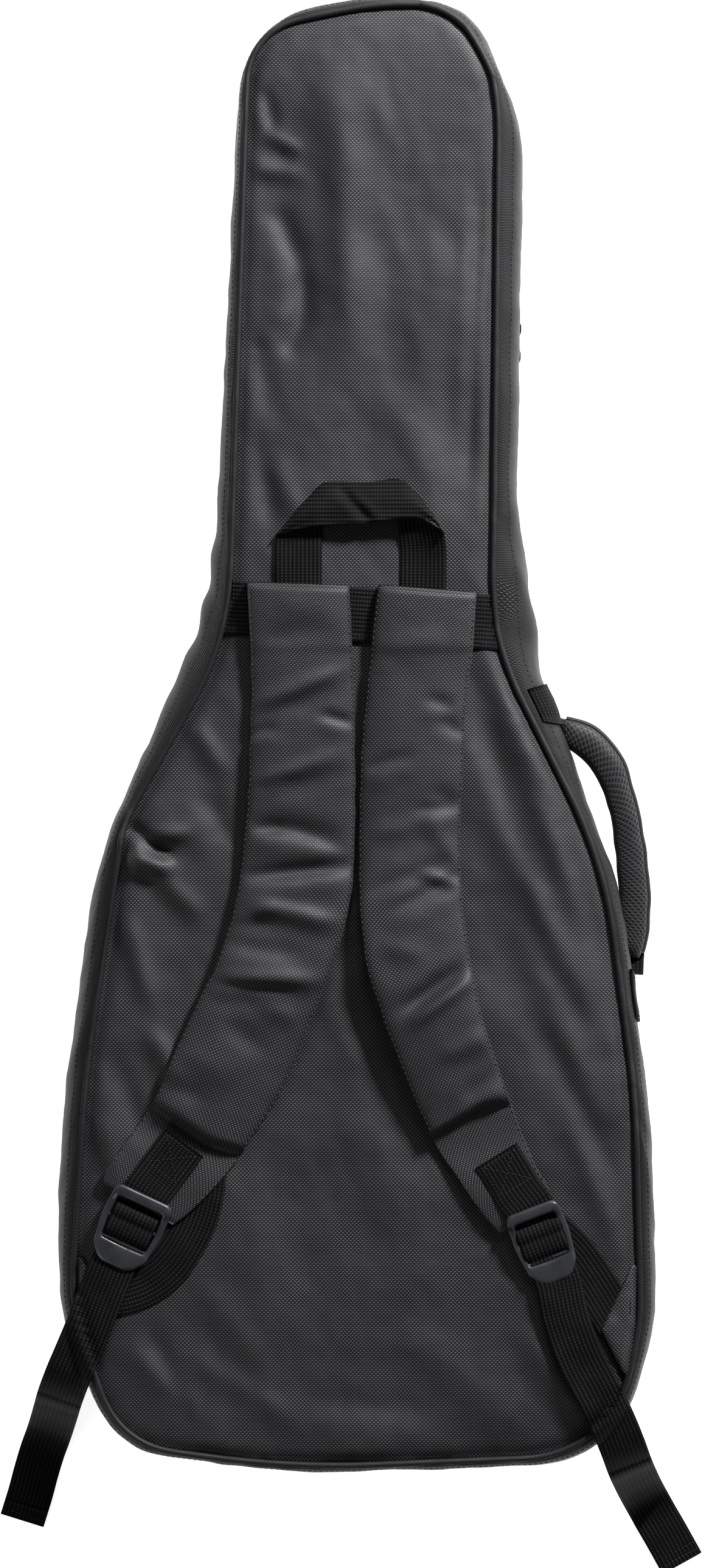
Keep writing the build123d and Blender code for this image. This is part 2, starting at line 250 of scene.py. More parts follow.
def seen_from_above(x, y, z):
    """Moves a point outwards as its depth below the back panel hides it from the lens."""
    share = (CAMERA_HEIGHT + BACK_Z - z) / CAMERA_HEIGHT
    return CAMERA_X + (x - CAMERA_X) * share, CAMERA_Y + (y - CAMERA_Y) * share


def spline(points, samples):
    """Points on a centripetal curve through a few points."""
    p = np.array(points, float)
    p = np.vstack([2 * p[0] - p[1], p, 2 * p[-1] - p[-2]])
    knots = np.concatenate([[0], np.cumsum(np.linalg.norm(np.diff(p, axis=0), axis=1) ** 0.5)])
    at = np.linspace(knots[1], knots[-2], samples)
    out = np.empty((samples, p.shape[1]))
    for k, t in enumerate(at):
        i = min(max(np.searchsorted(knots, t, side="right") - 1, 1), len(p) - 3)
        t0, t1, t2, t3 = knots[i - 1:i + 3]
        p0, p1, p2, p3 = p[i - 1:i + 3]
        a1 = (t1 - t) / (t1 - t0) * p0 + (t - t0) / (t1 - t0) * p1
        a2 = (t2 - t) / (t2 - t1) * p1 + (t - t1) / (t2 - t1) * p2
        a3 = (t3 - t) / (t3 - t2) * p2 + (t - t2) / (t3 - t2) * p3
        b1 = (t2 - t) / (t2 - t0) * a1 + (t - t0) / (t2 - t0) * a2
        b2 = (t3 - t) / (t3 - t1) * a2 + (t - t1) / (t3 - t1) * a3
        out[k] = (t2 - t) / (t2 - t1) * b1 + (t - t1) / (t2 - t1) * b2
    return out


def even(path, step):
    """The same line with points a step apart."""
    along = line_lengths(path)
    wanted = np.linspace(0, along[-1], max(2, round(along[-1] / step) + 1))
    return np.stack([np.interp(wanted, along, path[:, k]) for k in range(path.shape[1])], 1)


def unit(v):
    """The same directions at length one."""
    return v / np.maximum(np.linalg.norm(v, axis=-1, keepdims=True), 1e-9)


def smoothstep(t):
    """Smooth step from 0 to 1."""
    t = np.clip(t, 0, 1)
    return t * t * (3 - 2 * t)


# ---- Materials -----------------------------------------------------------------------------
class Nodes:
    """Short names for the nodes that the materials are made of."""

    def __init__(self, name):
        self.material = bpy.data.materials.new(name)
        self.material.use_nodes = True
        self.tree = self.material.node_tree
        self.shader = self.tree.nodes["Principled BSDF"]

    def make(self, kind, **settings):
        """A new node with its settings."""
        node = self.tree.nodes.new(kind)
        for key, value in settings.items():
            setattr(node, key, value)
        return node

    def join(self, source, socket):
        """Links an output to a socket, or sets it to a number."""
        if isinstance(source, (int, float)):
            socket.default_value = source
        else:
            self.tree.links.new(source, socket)

    def math(self, operation, *values):
        """One step of arithmetic."""
        node = self.make("ShaderNodeMath", operation=operation)
        for value, socket in zip(values, node.inputs):
            self.join(value, socket)
        return node.outputs[0]

    def cloth_mm(self):
        """Place on the cloth, in millimetres, across and along the threads."""
        pin = self.make("ShaderNodeUVMap", uv_map="cloth")
        split = self.make("ShaderNodeSeparateXYZ")
        self.tree.links.new(pin.outputs[0], split.inputs[0])
        return (self.math("MULTIPLY", split.outputs[0], 1 / MM),
                self.math("MULTIPLY", split.outputs[1], 1 / MM))

    def noise(self, scale, detail=2.0, roughness=0.5):
        """Noise through the object's space: scale is bumps per metre."""
        place = self.make("ShaderNodeTexCoord")
        node = self.make("ShaderNodeTexNoise")
        node.inputs["Scale"].default_value = scale
        node.inputs["Detail"].default_value = detail
        node.inputs["Roughness"].default_value = roughness
        self.tree.links.new(place.outputs["Object"], node.inputs["Vector"])
        return node.outputs[0]

    def mix(self, factor, first, second):
        """Blend of two colours."""
        node = self.make("ShaderNodeMix", data_type="RGBA")
        self.join(factor, node.inputs["Factor"])
        node.inputs["A"].default_value = (*first, 1)
        node.inputs["B"].default_value = (*second, 1)
        return node.outputs["Result"]

    def ramp(self, value, low_in, high_in, low_out=0.0, high_out=1.0):
        """Smooth ramp between two values."""
        node = self.make("ShaderNodeMapRange", interpolation_type="SMOOTHSTEP")
        self.join(value, node.inputs["Value"])
        node.inputs["From Min"].default_value = low_in
        node.inputs["From Max"].default_value = high_in
        node.inputs["To Min"].default_value = low_out
        node.inputs["To Max"].default_value = high_out
        return node.outputs["Result"]

    def finish(self, colour, height, depth_mm, roughness, **constants):
        """Joins colour, relief and roughness to the shader."""
        if isinstance(colour, tuple):
            self.shader.inputs["Base Color"].default_value = (*colour, 1)
        else:
            self.tree.links.new(colour, self.shader.inputs["Base Color"])
        bump = self.make("ShaderNodeBump")
        bump.inputs["Distance"].default_value = depth_mm * MM
        bump.inputs["Strength"].default_value = 1.0
        self.join(height, bump.inputs["Height"])
        self.tree.links.new(bump.outputs[0], self.shader.inputs["Normal"])
        self.join(roughness, self.shader.inputs["Roughness"])
        for key, value in constants.items():
            self.shader.inputs[key.replace("_", " ")].default_value = value
        return self.material


def fleck_cloth(name, ground, fleck, across=2.8, along=2.8, sheen=0.03, roughness=0.47):
    """Dobby-weave pack cloth: staggered raised flecks of shiny thread on a dark ground."""
    n = Nodes(name)
    u, v = n.cloth_mm()
    row = n.math("DIVIDE", v, along / 2)
    stagger = n.math("MULTIPLY", n.math("FLOORED_MODULO", n.math("FLOOR", row), 2.0), 0.5)
    column = n.math("ADD", n.math("DIVIDE", u, across), stagger)
    fx = n.math("SUBTRACT", n.math("FRACT", column), 0.5)
    fy = n.math("SUBTRACT", n.math("FRACT", row), 0.5)
    far = n.math("ADD", n.math("POWER", n.math("ABSOLUTE", n.math("DIVIDE", fx, 0.31)), 2.0),
                 n.math("POWER", n.math("ABSOLUTE", n.math("DIVIDE", fy, 0.44)), 2.0))
    dot = n.ramp(far, 0.25, 1.25, 1.0, 0.0)
    thread = n.math("SINE", n.math("MULTIPLY", u, 2 * math.pi / 0.45))
    wear = n.ramp(n.noise(9, 3.0), 0.3, 0.7, 0.72, 1.0)
    colour = n.mix(n.math("MULTIPLY", dot, wear), ground, fleck)
    relief = n.math("ADD", dot, n.math("MULTIPLY", thread, 0.06))
    rough = n.math("SUBTRACT", roughness + 0.12, n.math("MULTIPLY", dot, 0.18))
    return n.finish(colour, relief, 0.16, rough, Sheen_Weight=sheen, Sheen_Roughness=0.4,
                    Specular_IOR_Level=0.42)


def ribbed_webbing(name, dark, light, rib=3.0, fine=2.2):
    """Woven strap webbing: raised ribs along it, crossed by its weft."""
    n = Nodes(name)
    u, v = n.cloth_mm()
    wave = n.math("SINE", n.math("MULTIPLY", u, 2 * math.pi / rib))
    warp = n.math("SINE", n.math("MULTIPLY", v, 2 * math.pi / fine))
    crown = n.ramp(wave, -0.8, 0.9)
    knots = n.math("MULTIPLY", crown, n.ramp(warp, -0.6, 0.8, 0.35, 1.0))
    patchy = n.ramp(n.noise(55, 2.0), 0.35, 0.7, 0.65, 1.0)
    colour = n.mix(n.math("MULTIPLY", knots, patchy), dark, light)
    return n.finish(colour, knots, 0.3, 0.75, Sheen_Weight=0.02, Sheen_Roughness=0.4,
                    Specular_IOR_Level=0.1)


def fine_cloth(name, dark, light, pitch=0.9, depth=0.08, roughness=0.55, sheen=0.02):
    """Plain fine weave, for piping, tapes, bindings and lining."""
    n = Nodes(name)
    u, v = n.cloth_mm()
    a = n.math("SINE", n.math("MULTIPLY", n.math("ADD", u, v), math.pi / pitch))
    b = n.math("SINE", n.math("MULTIPLY", n.math("SUBTRACT", u, v), math.pi / pitch))
    knot = n.ramp(n.math("MULTIPLY", a, b), -0.6, 0.9)
    tone = n.math("MULTIPLY", knot, n.ramp(n.noise(40, 2.0), 0.3, 0.7, 0.7, 1.0))
    return n.finish(n.mix(tone, dark, light), knot, depth, roughness, Sheen_Weight=sheen,
                    Sheen_Roughness=0.4, Specular_IOR_Level=0.4)


def hole_mesh(name, thread, hole_shade, pitch=3.4):
    """Spacer mesh: staggered holes between raised threads, made by bump and colour only; the holes'
    near-black colour is painted shade in them.
    """
    n = Nodes(name)
    u, v = n.cloth_mm()
    row = n.math("DIVIDE", v, pitch * 0.5)
    stagger = n.math("MULTIPLY", n.math("FLOORED_MODULO", n.math("FLOOR", row), 2.0), 0.5)
    fx = n.math("SUBTRACT", n.math("FRACT", n.math("ADD", n.math("DIVIDE", u, pitch), stagger)), 0.5)
    fy = n.math("SUBTRACT", n.math("FRACT", row), 0.5)
    far = n.math("ADD", n.math("POWER", n.math("MULTIPLY", fx, 2.9), 2.0),
                 n.math("POWER", n.math("MULTIPLY", fy, 2.1), 2.0))
    web = n.ramp(far, 0.35, 1.0)
    yarn = n.ramp(n.noise(900, 2.0), 0.3, 0.7, 0.75, 1.0)
    # Where the web mask is low the colour goes to the holes' near-black: painted shade in the recesses.
    return n.finish(n.mix(n.math("MULTIPLY", web, yarn), hole_shade, thread), web, 0.7, 0.55,
                    Sheen_Weight=0.2, Sheen_Roughness=0.4, Specular_IOR_Level=0.4)


def moulded(name, colour, roughness, grain=0.02, metallic=0.0, specular=0.5):
    """Moulded or painted surface with a fine grain and slight colour drift."""
    n = Nodes(name)
    fine = n.noise(2600, 3.0)
    broad = n.ramp(n.noise(60, 2.0), 0.35, 0.65)
    lighter = tuple(min(1.0, c * 1.25 + 0.004) for c in colour)
    shine = n.math("ADD", roughness - 0.04, n.math("MULTIPLY", broad, 0.08))
    return n.finish(n.mix(broad, colour, lighter), fine, grain, shine, Metallic=metallic,
                    Specular_IOR_Level=specular)


CLOTH = fleck_cloth("pack_cloth", (0.0046, 0.0042, 0.0056), (0.084, 0.081, 0.090))
STRAP_CLOTH = fleck_cloth("strap_cloth", (0.0046, 0.0042, 0.0056), (0.080, 0.0772, 0.086))
# The gussets, the spine strip and the pocket's gusset use the panels' pack cloth with its ground and flecks
# painted several times darker: painted shade for the bag's sides, which face away from the lights.
SHADED_SIDE_CLOTH = fleck_cloth("gusset_cloth_painted_shade", (0.0020, 0.0020, 0.0026), (0.0125, 0.012, 0.0145), 1.7, 1.7)
WEBBING = ribbed_webbing("strap_webbing", (0.0018, 0.0018, 0.0021), (0.023, 0.023, 0.025))
PIPING = fine_cloth("piping_cloth", (0.003, 0.003, 0.004), (0.014, 0.015, 0.017))
TAPE = fine_cloth("zipper_tape_cloth", (0.006, 0.006, 0.007), (0.02, 0.02, 0.022), 0.7)
LINING = fine_cloth("brushed_lining", (0.03, 0.03, 0.033), (0.06, 0.06, 0.065), 1.1, 0.1, 0.8, 0.4)
THREAD = fine_cloth("sewing_thread", (0.016, 0.016, 0.018), (0.075, 0.075, 0.082), 0.25, 0.03, 0.45)
# The second colour is painted shade for the mesh's holes.
MESH = hole_mesh("air_mesh", (0.024, 0.024, 0.027), (0.0015, 0.0015, 0.0015), 4.4)
BUCKLE = moulded("buckle_plastic", (0.028, 0.029, 0.034), 0.3)
TEETH = moulded("zipper_teeth_plastic", (0.012, 0.012, 0.014), 0.35)
SLIDER = moulded("slider_paint", (0.02, 0.02, 0.022), 0.28, 0.005, 0.6)
RUBBER = moulded("pull_rubber", (0.014, 0.014, 0.016), 0.6, 0.04)
VINYL = moulded("wear_vinyl", (0.022, 0.022, 0.024), 0.45, 0.12)


# ---- Mesh making ---------------------------------------------------------------------------
def piece(name, points, faces, cloth, material, body, stands_for=(), slot=None, smooth=True):
    """A mesh object from points in millimetres; cloth holds each face corner's place on the cloth."""
    mesh = bpy.data.meshes.new(name)
    mesh.from_pydata((np.asarray(points) * MM).tolist(), [], faces)
    layer = mesh.uv_layers.new(name="cloth")
    layer.data.foreach_set("uv", (np.asarray(cloth, float) * MM).ravel())
    mesh.materials.append(material)
    mesh.polygons.foreach_set("use_smooth", [smooth] * len(mesh.polygons))
    mesh.update()
    mesh.validate()
    thing = bpy.data.objects.new(name, mesh)
    bpy.context.scene.collection.objects.link(thing)
    if body:
        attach(thing, body)
    if stands_for:
        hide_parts(*stands_for)
    return thing


def grid_faces(rows, columns, wrap_rows=False, wrap_columns=False):
    """Quads of a grid of points, as an array of corner indices, and their grid places."""
    i = np.arange(rows if wrap_rows else rows - 1)
    j = np.arange(columns if wrap_columns else columns - 1)
    i, j = (a.ravel() for a in np.meshgrid(i, j, indexing="ij"))
    i2 = (i + 1) % rows
    j2 = (j + 1) % columns
    corners = np.stack([i * columns + j, i2 * columns + j, i2 * columns + j2, i * columns + j2], 1)
    places = np.stack([np.stack([i, j], 1), np.stack([i + 1, j], 1),
                       np.stack([i + 1, j + 1], 1), np.stack([i, j + 1], 1)], 1)
    return corners, places


def grid_piece(name, points, along, across, material, body, wrap_rows=False, wrap_columns=False,
               caps=False, flip=False, **more):
    """A piece whose points are a grid; along and across are the cloth's places, in millimetres."""
    rows, columns = points.shape[:2]
    corners, places = grid_faces(rows, columns, wrap_rows, wrap_columns)
    cloth = np.stack([np.asarray(across)[places[..., 1]], np.asarray(along)[places[..., 0]]], -1)
    if flip:
        corners = corners[:, ::-1]
        cloth = cloth[:, ::-1]
    faces = corners.tolist()
    cloth = cloth.reshape(-1, 2)
    if caps:
        for row, turned in ((0, not flip), (rows - 1, flip)):
            ring = [row * columns + j for j in range(columns)]
            faces.append(ring[::-1] if turned else ring)
            cloth = np.vstack([cloth, np.zeros((columns, 2))])
    return piece(name, points.reshape(-1, 3), faces, cloth, material, body, **more)


def swept(path, sides, ups, section):
    """Grid of points: a section (side, up) carried along a path."""
    return (path[:, None, :] + sides[:, None, :] * section[None, :, 0, None]
            + ups[:, None, :] * section[None, :, 1, None])


def turning_frames(path, up):
    """Side and up directions along a path that keep the given up as nearly as they can."""
    forward = unit(np.gradient(path, axis=0))
    side = unit(np.cross(forward, np.broadcast_to(up, path.shape)))
    return side, unit(np.cross(side, forward))


def ribbon_section(width, thickness, around=9):
    """Closed section of webbing with rounded selvedges, the top first."""
    half = width / 2
    x = np.linspace(-half, half, around)
    edge = thickness / 2
    round_part = [(half + edge * math.sin(a), edge * math.cos(a)) for a in np.linspace(0, math.pi, 5)[1:-1]]
    top = [(a, edge) for a in x]
    bottom = [(a, -edge) for a in x[::-1]]
    other = [(-a, -b) for a, b in round_part]
    return np.array(top + round_part + bottom + other)


def kept_inside(points, margin):
    """Moves points that would lie over the piping back onto the panel."""
    flat = points[..., :2].reshape(-1, 2)
    line = seam_plan - SEAM_NORMAL * margin
    for k in np.nonzero(~contains(line, flat))[0]:
        flat[k] = line[np.argmin(np.linalg.norm(line - flat[k], axis=1))]
    out = points.copy()
    out[..., :2] = flat.reshape(points.shape[:-1] + (2,))
    return out


def ribbon(name, path, up, width, thickness, body, material=WEBBING, step=2.0, clearance=None, within=None,
           trim=None, **more):
    """Flat webbing along a line; up is its face's direction, one or one for each given point.

    clearance keeps it that far above the bag, in millimetres."""
    line = even(np.array(path, float), step)
    if np.ndim(up) == 1:
        face = np.broadcast_to(np.array(up, float), line.shape)
    else:
        share = np.linspace(0, 1, len(up))
        at = np.linspace(0, 1, len(line))
        face = np.stack([np.interp(at, share, np.array(up, float)[:, k]) for k in range(3)], 1)
    side, top = turning_frames(line, face)
    section = ribbon_section(width, thickness)
    points = swept(line, side, top, section)
    if trim:
        points[..., 1] = np.minimum(points[..., 1], trim(points[..., 0]))
    if within:
        points = kept_inside(points, within)
    if clearance is not None:
        points = lifted(points, clearance)
    along = np.arange(len(line)) * np.linalg.norm(line[1] - line[0])
    return grid_piece(name, points, along, loop_lengths(section), material, body,
                      **SOLID, **more)


# A stitch's half width and height along its length, as shares of its width.
STITCH_SWELL = np.array([0.25, 0.9, 1.0, 0.9, 0.25])
STITCH_SINK = np.array([-0.35, 0.05, 0.12, 0.05, -0.35])


def stitches(name, path, ups, body, length=2.8, pitch=4.0, width=0.55, closed=False, **more):
    """Row of thread stitches lying on a line; each is a small pillow that dips at its ends."""
    line = np.array(path, float)
    if closed:
        line = np.vstack([line, line[:1]])
        ups = np.vstack([ups, ups[:1]])
    along = line_lengths(line)
    number = int(along[-1] / pitch)
    shares = np.linspace(0, 1, 5)
    ring = ring_angles(4) + math.pi / 4
    starts = np.arange(number) * pitch
    at = (starts[:, None] + shares[None, :] * length).ravel()
    centre = np.stack([np.interp(at, along, line[:, k]) for k in range(3)], 1)
    face = unit(np.stack([np.interp(at, along, ups[:, k]) for k in range(3)], 1))
    ahead = np.stack([np.interp(at + 0.5, along, line[:, k]) for k in range(3)], 1)
    forward = unit(ahead - centre)
    side = np.cross(forward, face)
    swell = np.tile(STITCH_SWELL * width / 2, number)
    sink = np.tile(STITCH_SINK * width, number)
    points = (centre[:, None, :] + face[:, None, :] * sink[:, None, None]
              + swell[:, None, None] * (side[:, None, :] * np.cos(ring)[None, :, None]
                                        + face[:, None, :] * np.sin(ring)[None, :, None]))
    base = np.arange(number) * 20
    one = []
    for i in range(4):
        for j in range(4):
            k = (j + 1) % 4
            one.append([i * 4 + j, i * 4 + k, i * 4 + 4 + k, i * 4 + 4 + j])
    one.append([0, 1, 2, 3][::-1])
    one.append([16, 17, 18, 19])
    faces = (base[:, None, None] + np.array(one)[None]).reshape(-1, 4).tolist()
    cloth = np.tile(np.array([(0, 0), (0.4, 0), (0.4, 0.7), (0, 0.7)]), (len(faces), 1))
    return piece(name, points.reshape(-1, 3), faces, cloth, THREAD, body, **more)


WEBBING_STITCH = {"length": 2.0, "pitch": 2.8, "slot": "webbing"}
SOLID = {"wrap_columns": True, "caps": True, "flip": True}


# ---- Shape of the bag ----------------------------------------------------------------------
side_plan, LOOP_COUNTS = rounded_loop(SIDE_LINE)
seam_plan, _ = rounded_loop(SEAM_LINE, LOOP_COUNTS)
seam_plan = smooth_closed(seam_plan, 4)
side_plan = smooth_closed(side_plan, 4)
LOOP_ALONG = loop_lengths(side_plan)
LOOP_AT = LOOP_ALONG[:-1]

# Folds of the back panel: start x, start y, end x, end y, width and height.
PANEL_FOLDS = [
    (-68, 470, -60, 440, 6, -2.0), (-66, 436, -40, 424, 5, 1.6), (-80, 412, -40, 407, 6, 1.4),
    (-58, 384, -39, 336, 8, -2.2), (-39, 338, -39, 298, 8, -2.6), (-38, 304, -52, 276, 8, -1.8),
    (-14, 492, -8, 270, 20, 4.4), (-24, 440, -18, 300, 12, -1.4), (2, 476, 58, 380, 9, 1.0),
    (20, 450, 70, 350, 9, -1.0), (10, 400, 46, 320, 9, 0.9), (30, 340, 52, 250, 10, 0.8),
    (-80, 300, -60, 230, 9, -1.2), (-60, 200, -44, 160, 8, 1.2), (52, 400, 72, 240, 14, 0.9),
    (89, 400, 86, 300, 5, -1.3), (86, 300, 81, 185, 5, -1.3),
    (64, 330, 78, 150, 12, -1.4), (-74, 220, -58, 140, 9, -1.2), (20, 250, 60, 180, 14, 1.2),
    (-168, -64, -134, -86, 6, -4.0), (-172, -88, -132, -97, 6, 3.0), (-160, -74, -120, -70, 6, 2.4),
    (-176, -110, -184, -190, 6, -2.6), (-166, -130, -150, -196, 8, 2.2), (-148, -96, -112, -132, 8, 2.0),
    (-150, -214, -124, -258, 8, 2.6), (-178, -230, -150, -300, 10, -2.0), (-190, -270, -170, -330, 9, 1.8),
    (-118, 10, -96, -30, 8, 1.8), (-112, -40, -90, -80, 8, -1.5),
    (92, 66, 140, -40, 9, 2.2), (96, 40, 170, -140, 10, 2.0), (88, 20, 128, -120, 9, -1.8),
    (90, -10, 150, -170, 11, 1.8), (100, -60, 176, -210, 9, 1.6), (150, -60, 188, -190, 8, -1.8),
    (110, -120, 178, -280, 10, 1.5), (130, -200, 190, -330, 10, -1.4), (150, -260, 196, -390, 9, 1.6),
    (10, -110, 30, -190, 12, -1.6), (-20, -170, 5, -260, 14, 1.4), (-10, -250, 60, -400, 22, 1.8),
    (-70, -300, -20, -420, 18, -1.3), (-110, -400, -60, -470, 12, 1.4), (-170, -440, -112, -494, 9, 1.1),
    (-150, -430, -120, -500, 7, -1.1), (-120, -450, -40, -500, 10, 1.3), (30, -430, 120, -500, 16, 1.4),
    (120, -430, 170, -500, 10, 1.6), (-40, -480, 60, -492, 10, -1.1),
]


def crown_height(edge, rise, groove):
    """Swell of a padded panel inside its seam, with a groove beside the seam."""
    return rise * (1 - np.exp(-edge / 15)) - groove * np.exp(-((edge - 3.0) / 4.0) ** 2)


def panel_height(x, y):
    """Height of the back panel's cloth over any points, in millimetres."""
    x = np.asarray(x, float)
    y = np.asarray(y, float)
    shape = x.shape
    fx = x.ravel()
    fy = y.ravel()
    edge = distance_to_loop(fx, fy, seam_plan)
    crown = crown_height(edge, 4.2, 2.6)
    inner = smoothstep(edge / 14)
    folds = 1.7 * ridge_field(fx, fy, PANEL_FOLDS) * (0.3 + 0.7 * inner)
    broad = 2.2 * lattice_noise(fx, fy, 75, 3) + 1.1 * lattice_noise(fx, fy, 33, 4)
    small = 0.35 * lattice_noise(fx * 1.4, fy, 13, 5) + 0.14 * lattice_noise(fx, fy, 6, 6)
    pucker = 0.55 * lattice_noise(fx + fy, fy - fx, 9, 7) * np.exp(-edge / 9)
    return (BACK_Z - 2.2 + crown + folds + broad * inner + small * inner + pucker).reshape(shape)


def bag_top(x, y):
    """Height of the bag under any points: panel, piping and the rounded shoulder beyond it."""
    shape = np.shape(x)
    points = np.column_stack([np.ravel(x), np.ravel(y)])
    gap = distance_to_loop(points[:, 0], points[:, 1], seam_plan)
    inside = contains(seam_plan, points)
    panel = panel_height(points[:, 0], points[:, 1])
    cord = BACK_Z + 1.4 - 2.5 * (1 - np.sqrt(np.clip(1 - (gap / 2.6) ** 2, 0, 1)))
    shoulder = BACK_Z + 1.2 - 26 * (1 - np.sqrt(np.clip(1 - (gap / 14.0) ** 2, 0, 1)))
    ground = np.where(inside, panel, shoulder)
    return np.where(gap < 2.6, np.maximum(ground, cord + 0.8), ground).reshape(shape)


def lifted(points, lift):
    """Raises the points of a ribbon's grid that would sink into the bag, lower face included."""
    ground = bag_top(points[..., 0], points[..., 1]) + lift
    sink = np.clip((ground.reshape(points.shape[:2]) - points[..., 2].min(1)[:, None]), 0, None)
    out = points.copy()
    out[..., 2] += sink * smoothstep((points[..., 2].min(1)[:, None] - BACK_Z + 42) / 34)
    return out


def filled_plan(loop, spacing, margins):
    """Triangles that fill a closed plan line: its own points, rings beside it and an even inside."""
    inward = -loop_normals(loop)
    rings = [loop] + [loop + inward * m for m in margins]
    lo = loop.min(0)
    hi = loop.max(0)
    rows = np.arange(lo[1], hi[1], spacing * 0.866)
    inside = []
    for k, y in enumerate(rows):
        x = np.arange(lo[0] + (k % 2) * spacing / 2, hi[0], spacing)
        inside.append(np.stack([x, np.full_like(x, y)], 1))
    inside = np.concatenate(inside)
    clear = distance_to_loop(inside[:, 0], inside[:, 1], loop) > margins[-1] + spacing * 0.6
    keep = contains(loop, inside) & clear
    points = np.concatenate(rings + [inside[keep]])
    count = len(loop)
    edges = [(i, (i + 1) % count) for i in range(count)]
    found = delaunay_2d_cdt([Vector(p) for p in points], edges, [], 1, 1e-5)
    return np.array([tuple(v) for v in found[0]]), [list(f) for f in found[2]]


def contains(loop, points):
    """Which points lie inside a closed line."""
    inside = np.zeros(len(points), bool)
    a = loop
    b = np.roll(loop, -1, axis=0)
    for (ax, ay), (bx, by) in zip(a, b):
        crosses = (ay > points[:, 1]) != (by > points[:, 1])
        if ay != by:
            inside ^= crosses & (points[:, 0] < ax + (points[:, 1] - ay) * (bx - ax) / (by - ay))
    return inside


def loop_normals(loop):
    """Outward directions of a closed plan line."""
    ahead = np.roll(loop, -1, axis=0) - np.roll(loop, 1, axis=0)
    normal = unit(np.stack([ahead[:, 1], -ahead[:, 0]], 1))
    return normal if signed_area(loop) > 0 else -normal


def plan_piece(name, loop, spacing, height, material, body, under, flip=False,
               margins=(2.0, 5.0, 9.0), **more):
    """Cloth that fills a plan line between two heights for each point: height above and under below."""
    plan, faces = filled_plan(loop, spacing, margins)
    x = plan[:, 0]
    y = plan[:, 1]
    top = np.column_stack([x, y, height(x, y)])
    a, b, c = (plan[k] for k in faces[0][:3])
    faces_up = (b[0] - a[0]) * (c[1] - a[1]) - (b[1] - a[1]) * (c[0] - a[0]) > 0
    if faces_up == flip:
        faces = [f[::-1] for f in faces]
    base = len(top)
    points = np.vstack([top, np.column_stack([x, y, under(x, y)])])
    all_faces = faces + [[i + base for i in f[::-1]] for f in faces] + rim_faces(faces, base)
    flat = np.array([i for f in all_faces for i in f])
    cloth = points[flat][:, :2]
    return piece(name, points, all_faces, cloth, material, body, **more)


def rim_faces(faces, base):
    """Quads that join the open edge of a sheet to the same edge of its lower copy."""
    edges = set()
    for f in faces:
        for a, b in zip(f, f[1:] + f[:1]):
            if (b, a) in edges:
                edges.discard((b, a))
            else:
                edges.add((a, b))
    return [[b, a, a + base, b + base] for a, b in sorted(edges)]


SEAM_NORMAL = loop_normals(seam_plan)
SIDE_NORMAL = loop_normals(side_plan)
PANEL_PLAN = seam_plan - SEAM_NORMAL * 1.2


def side_wrinkle(along, share):
    """How far the gusset stands out at a place round the bag and a share of its height."""
    folds = 0.7 * lattice_noise(along, share * 40, 30, 21) + 0.35 * lattice_noise(along, share * 25, 12, 22)
    fine = 0.18 * lattice_noise(along, share * 60, 5, 23)
    return (1.4 * folds + fine) * np.sin(np.pi * np.clip(share, 0, 1)) ** 0.7


def waist_gather(plan):
    """Extra folds where the gusset bends round the waist."""
    x = plan[:, 0]
    y = plan[:, 1]
    right = np.exp(-(((y - 100) / 75) ** 2)) * (x > 0)
    left = np.exp(-(((y - 95) / 70) ** 2)) * (x < 0)
    return right, left


def gusset_grid(up):
    """Points of the back gusset (up = 1) or of the front gusset (up = -1), from seam to zipper."""
    right, left = waist_gather(side_plan)
    t = np.concatenate([np.linspace(0, 0.5, 15), np.linspace(0.5, 1, 9)[1:]])
    rows = []
    seam_z = BACK_Z - 1.5 if up > 0 else FRONT_Z + 1.5
    wide_z = ZIP_Z + WIDE_RISE * up
    edge_z = ZIP_Z + ZIP_EDGE_RISE * up
    wide_x, wide_y = seen_from_above(side_plan[:, 0], side_plan[:, 1], wide_z) if up > 0 else side_plan.T
    wide = np.stack([wide_x, wide_y], 1)
    if up > 0:
        folds = right * (1.2 + 1.3 * np.sin(LOOP_AT / 8.5)) + left * 1.3 * np.sin(LOOP_AT / 6.5)
        wide = wide + SIDE_NORMAL * folds[:, None]
    seam = seam_plan + SEAM_NORMAL * 1.5
    for share in t:
        if share <= 0.5:
            angle = share * math.pi
            plan = seam + (wide - seam) * math.sin(angle) ** 0.9
            z = wide_z + (seam_z - wide_z) * math.cos(angle) ** 0.75 if share < 0.5 else wide_z
        else:
            below = (share - 0.5) * 2
            plan = wide - SIDE_NORMAL * (ZIP_EDGE_TUCK * below**2)
            z = wide_z + (edge_z - wide_z) * below
        out = side_wrinkle(LOOP_AT + (0 if up > 0 else 500), share)
        out = out + 1.5 * right * np.sin(LOOP_AT / 11 + share * 7) * math.sin(math.pi * min(share * 1.3, 1))
        point = plan + SIDE_NORMAL * out[:, None]
        height = np.full(len(plan), z) + 0.5 * out * (1 - share) * up
        rows.append(np.column_stack([point, height]))
    return np.stack(rows, 1)


def gusset(name, up, body, **more):
    """One gusset as a piece, and its points."""
    points = gusset_grid(up)
    across = line_lengths(points[0])
    along = LOOP_ALONG
    # The gusset's cloth is the pack cloth painted darker, as shade on the bag's sides.
    made = grid_piece(name, points, along, across, SHADED_SIDE_CLOTH, body, wrap_rows=True, flip=(up < 0), **more)
    return made, points


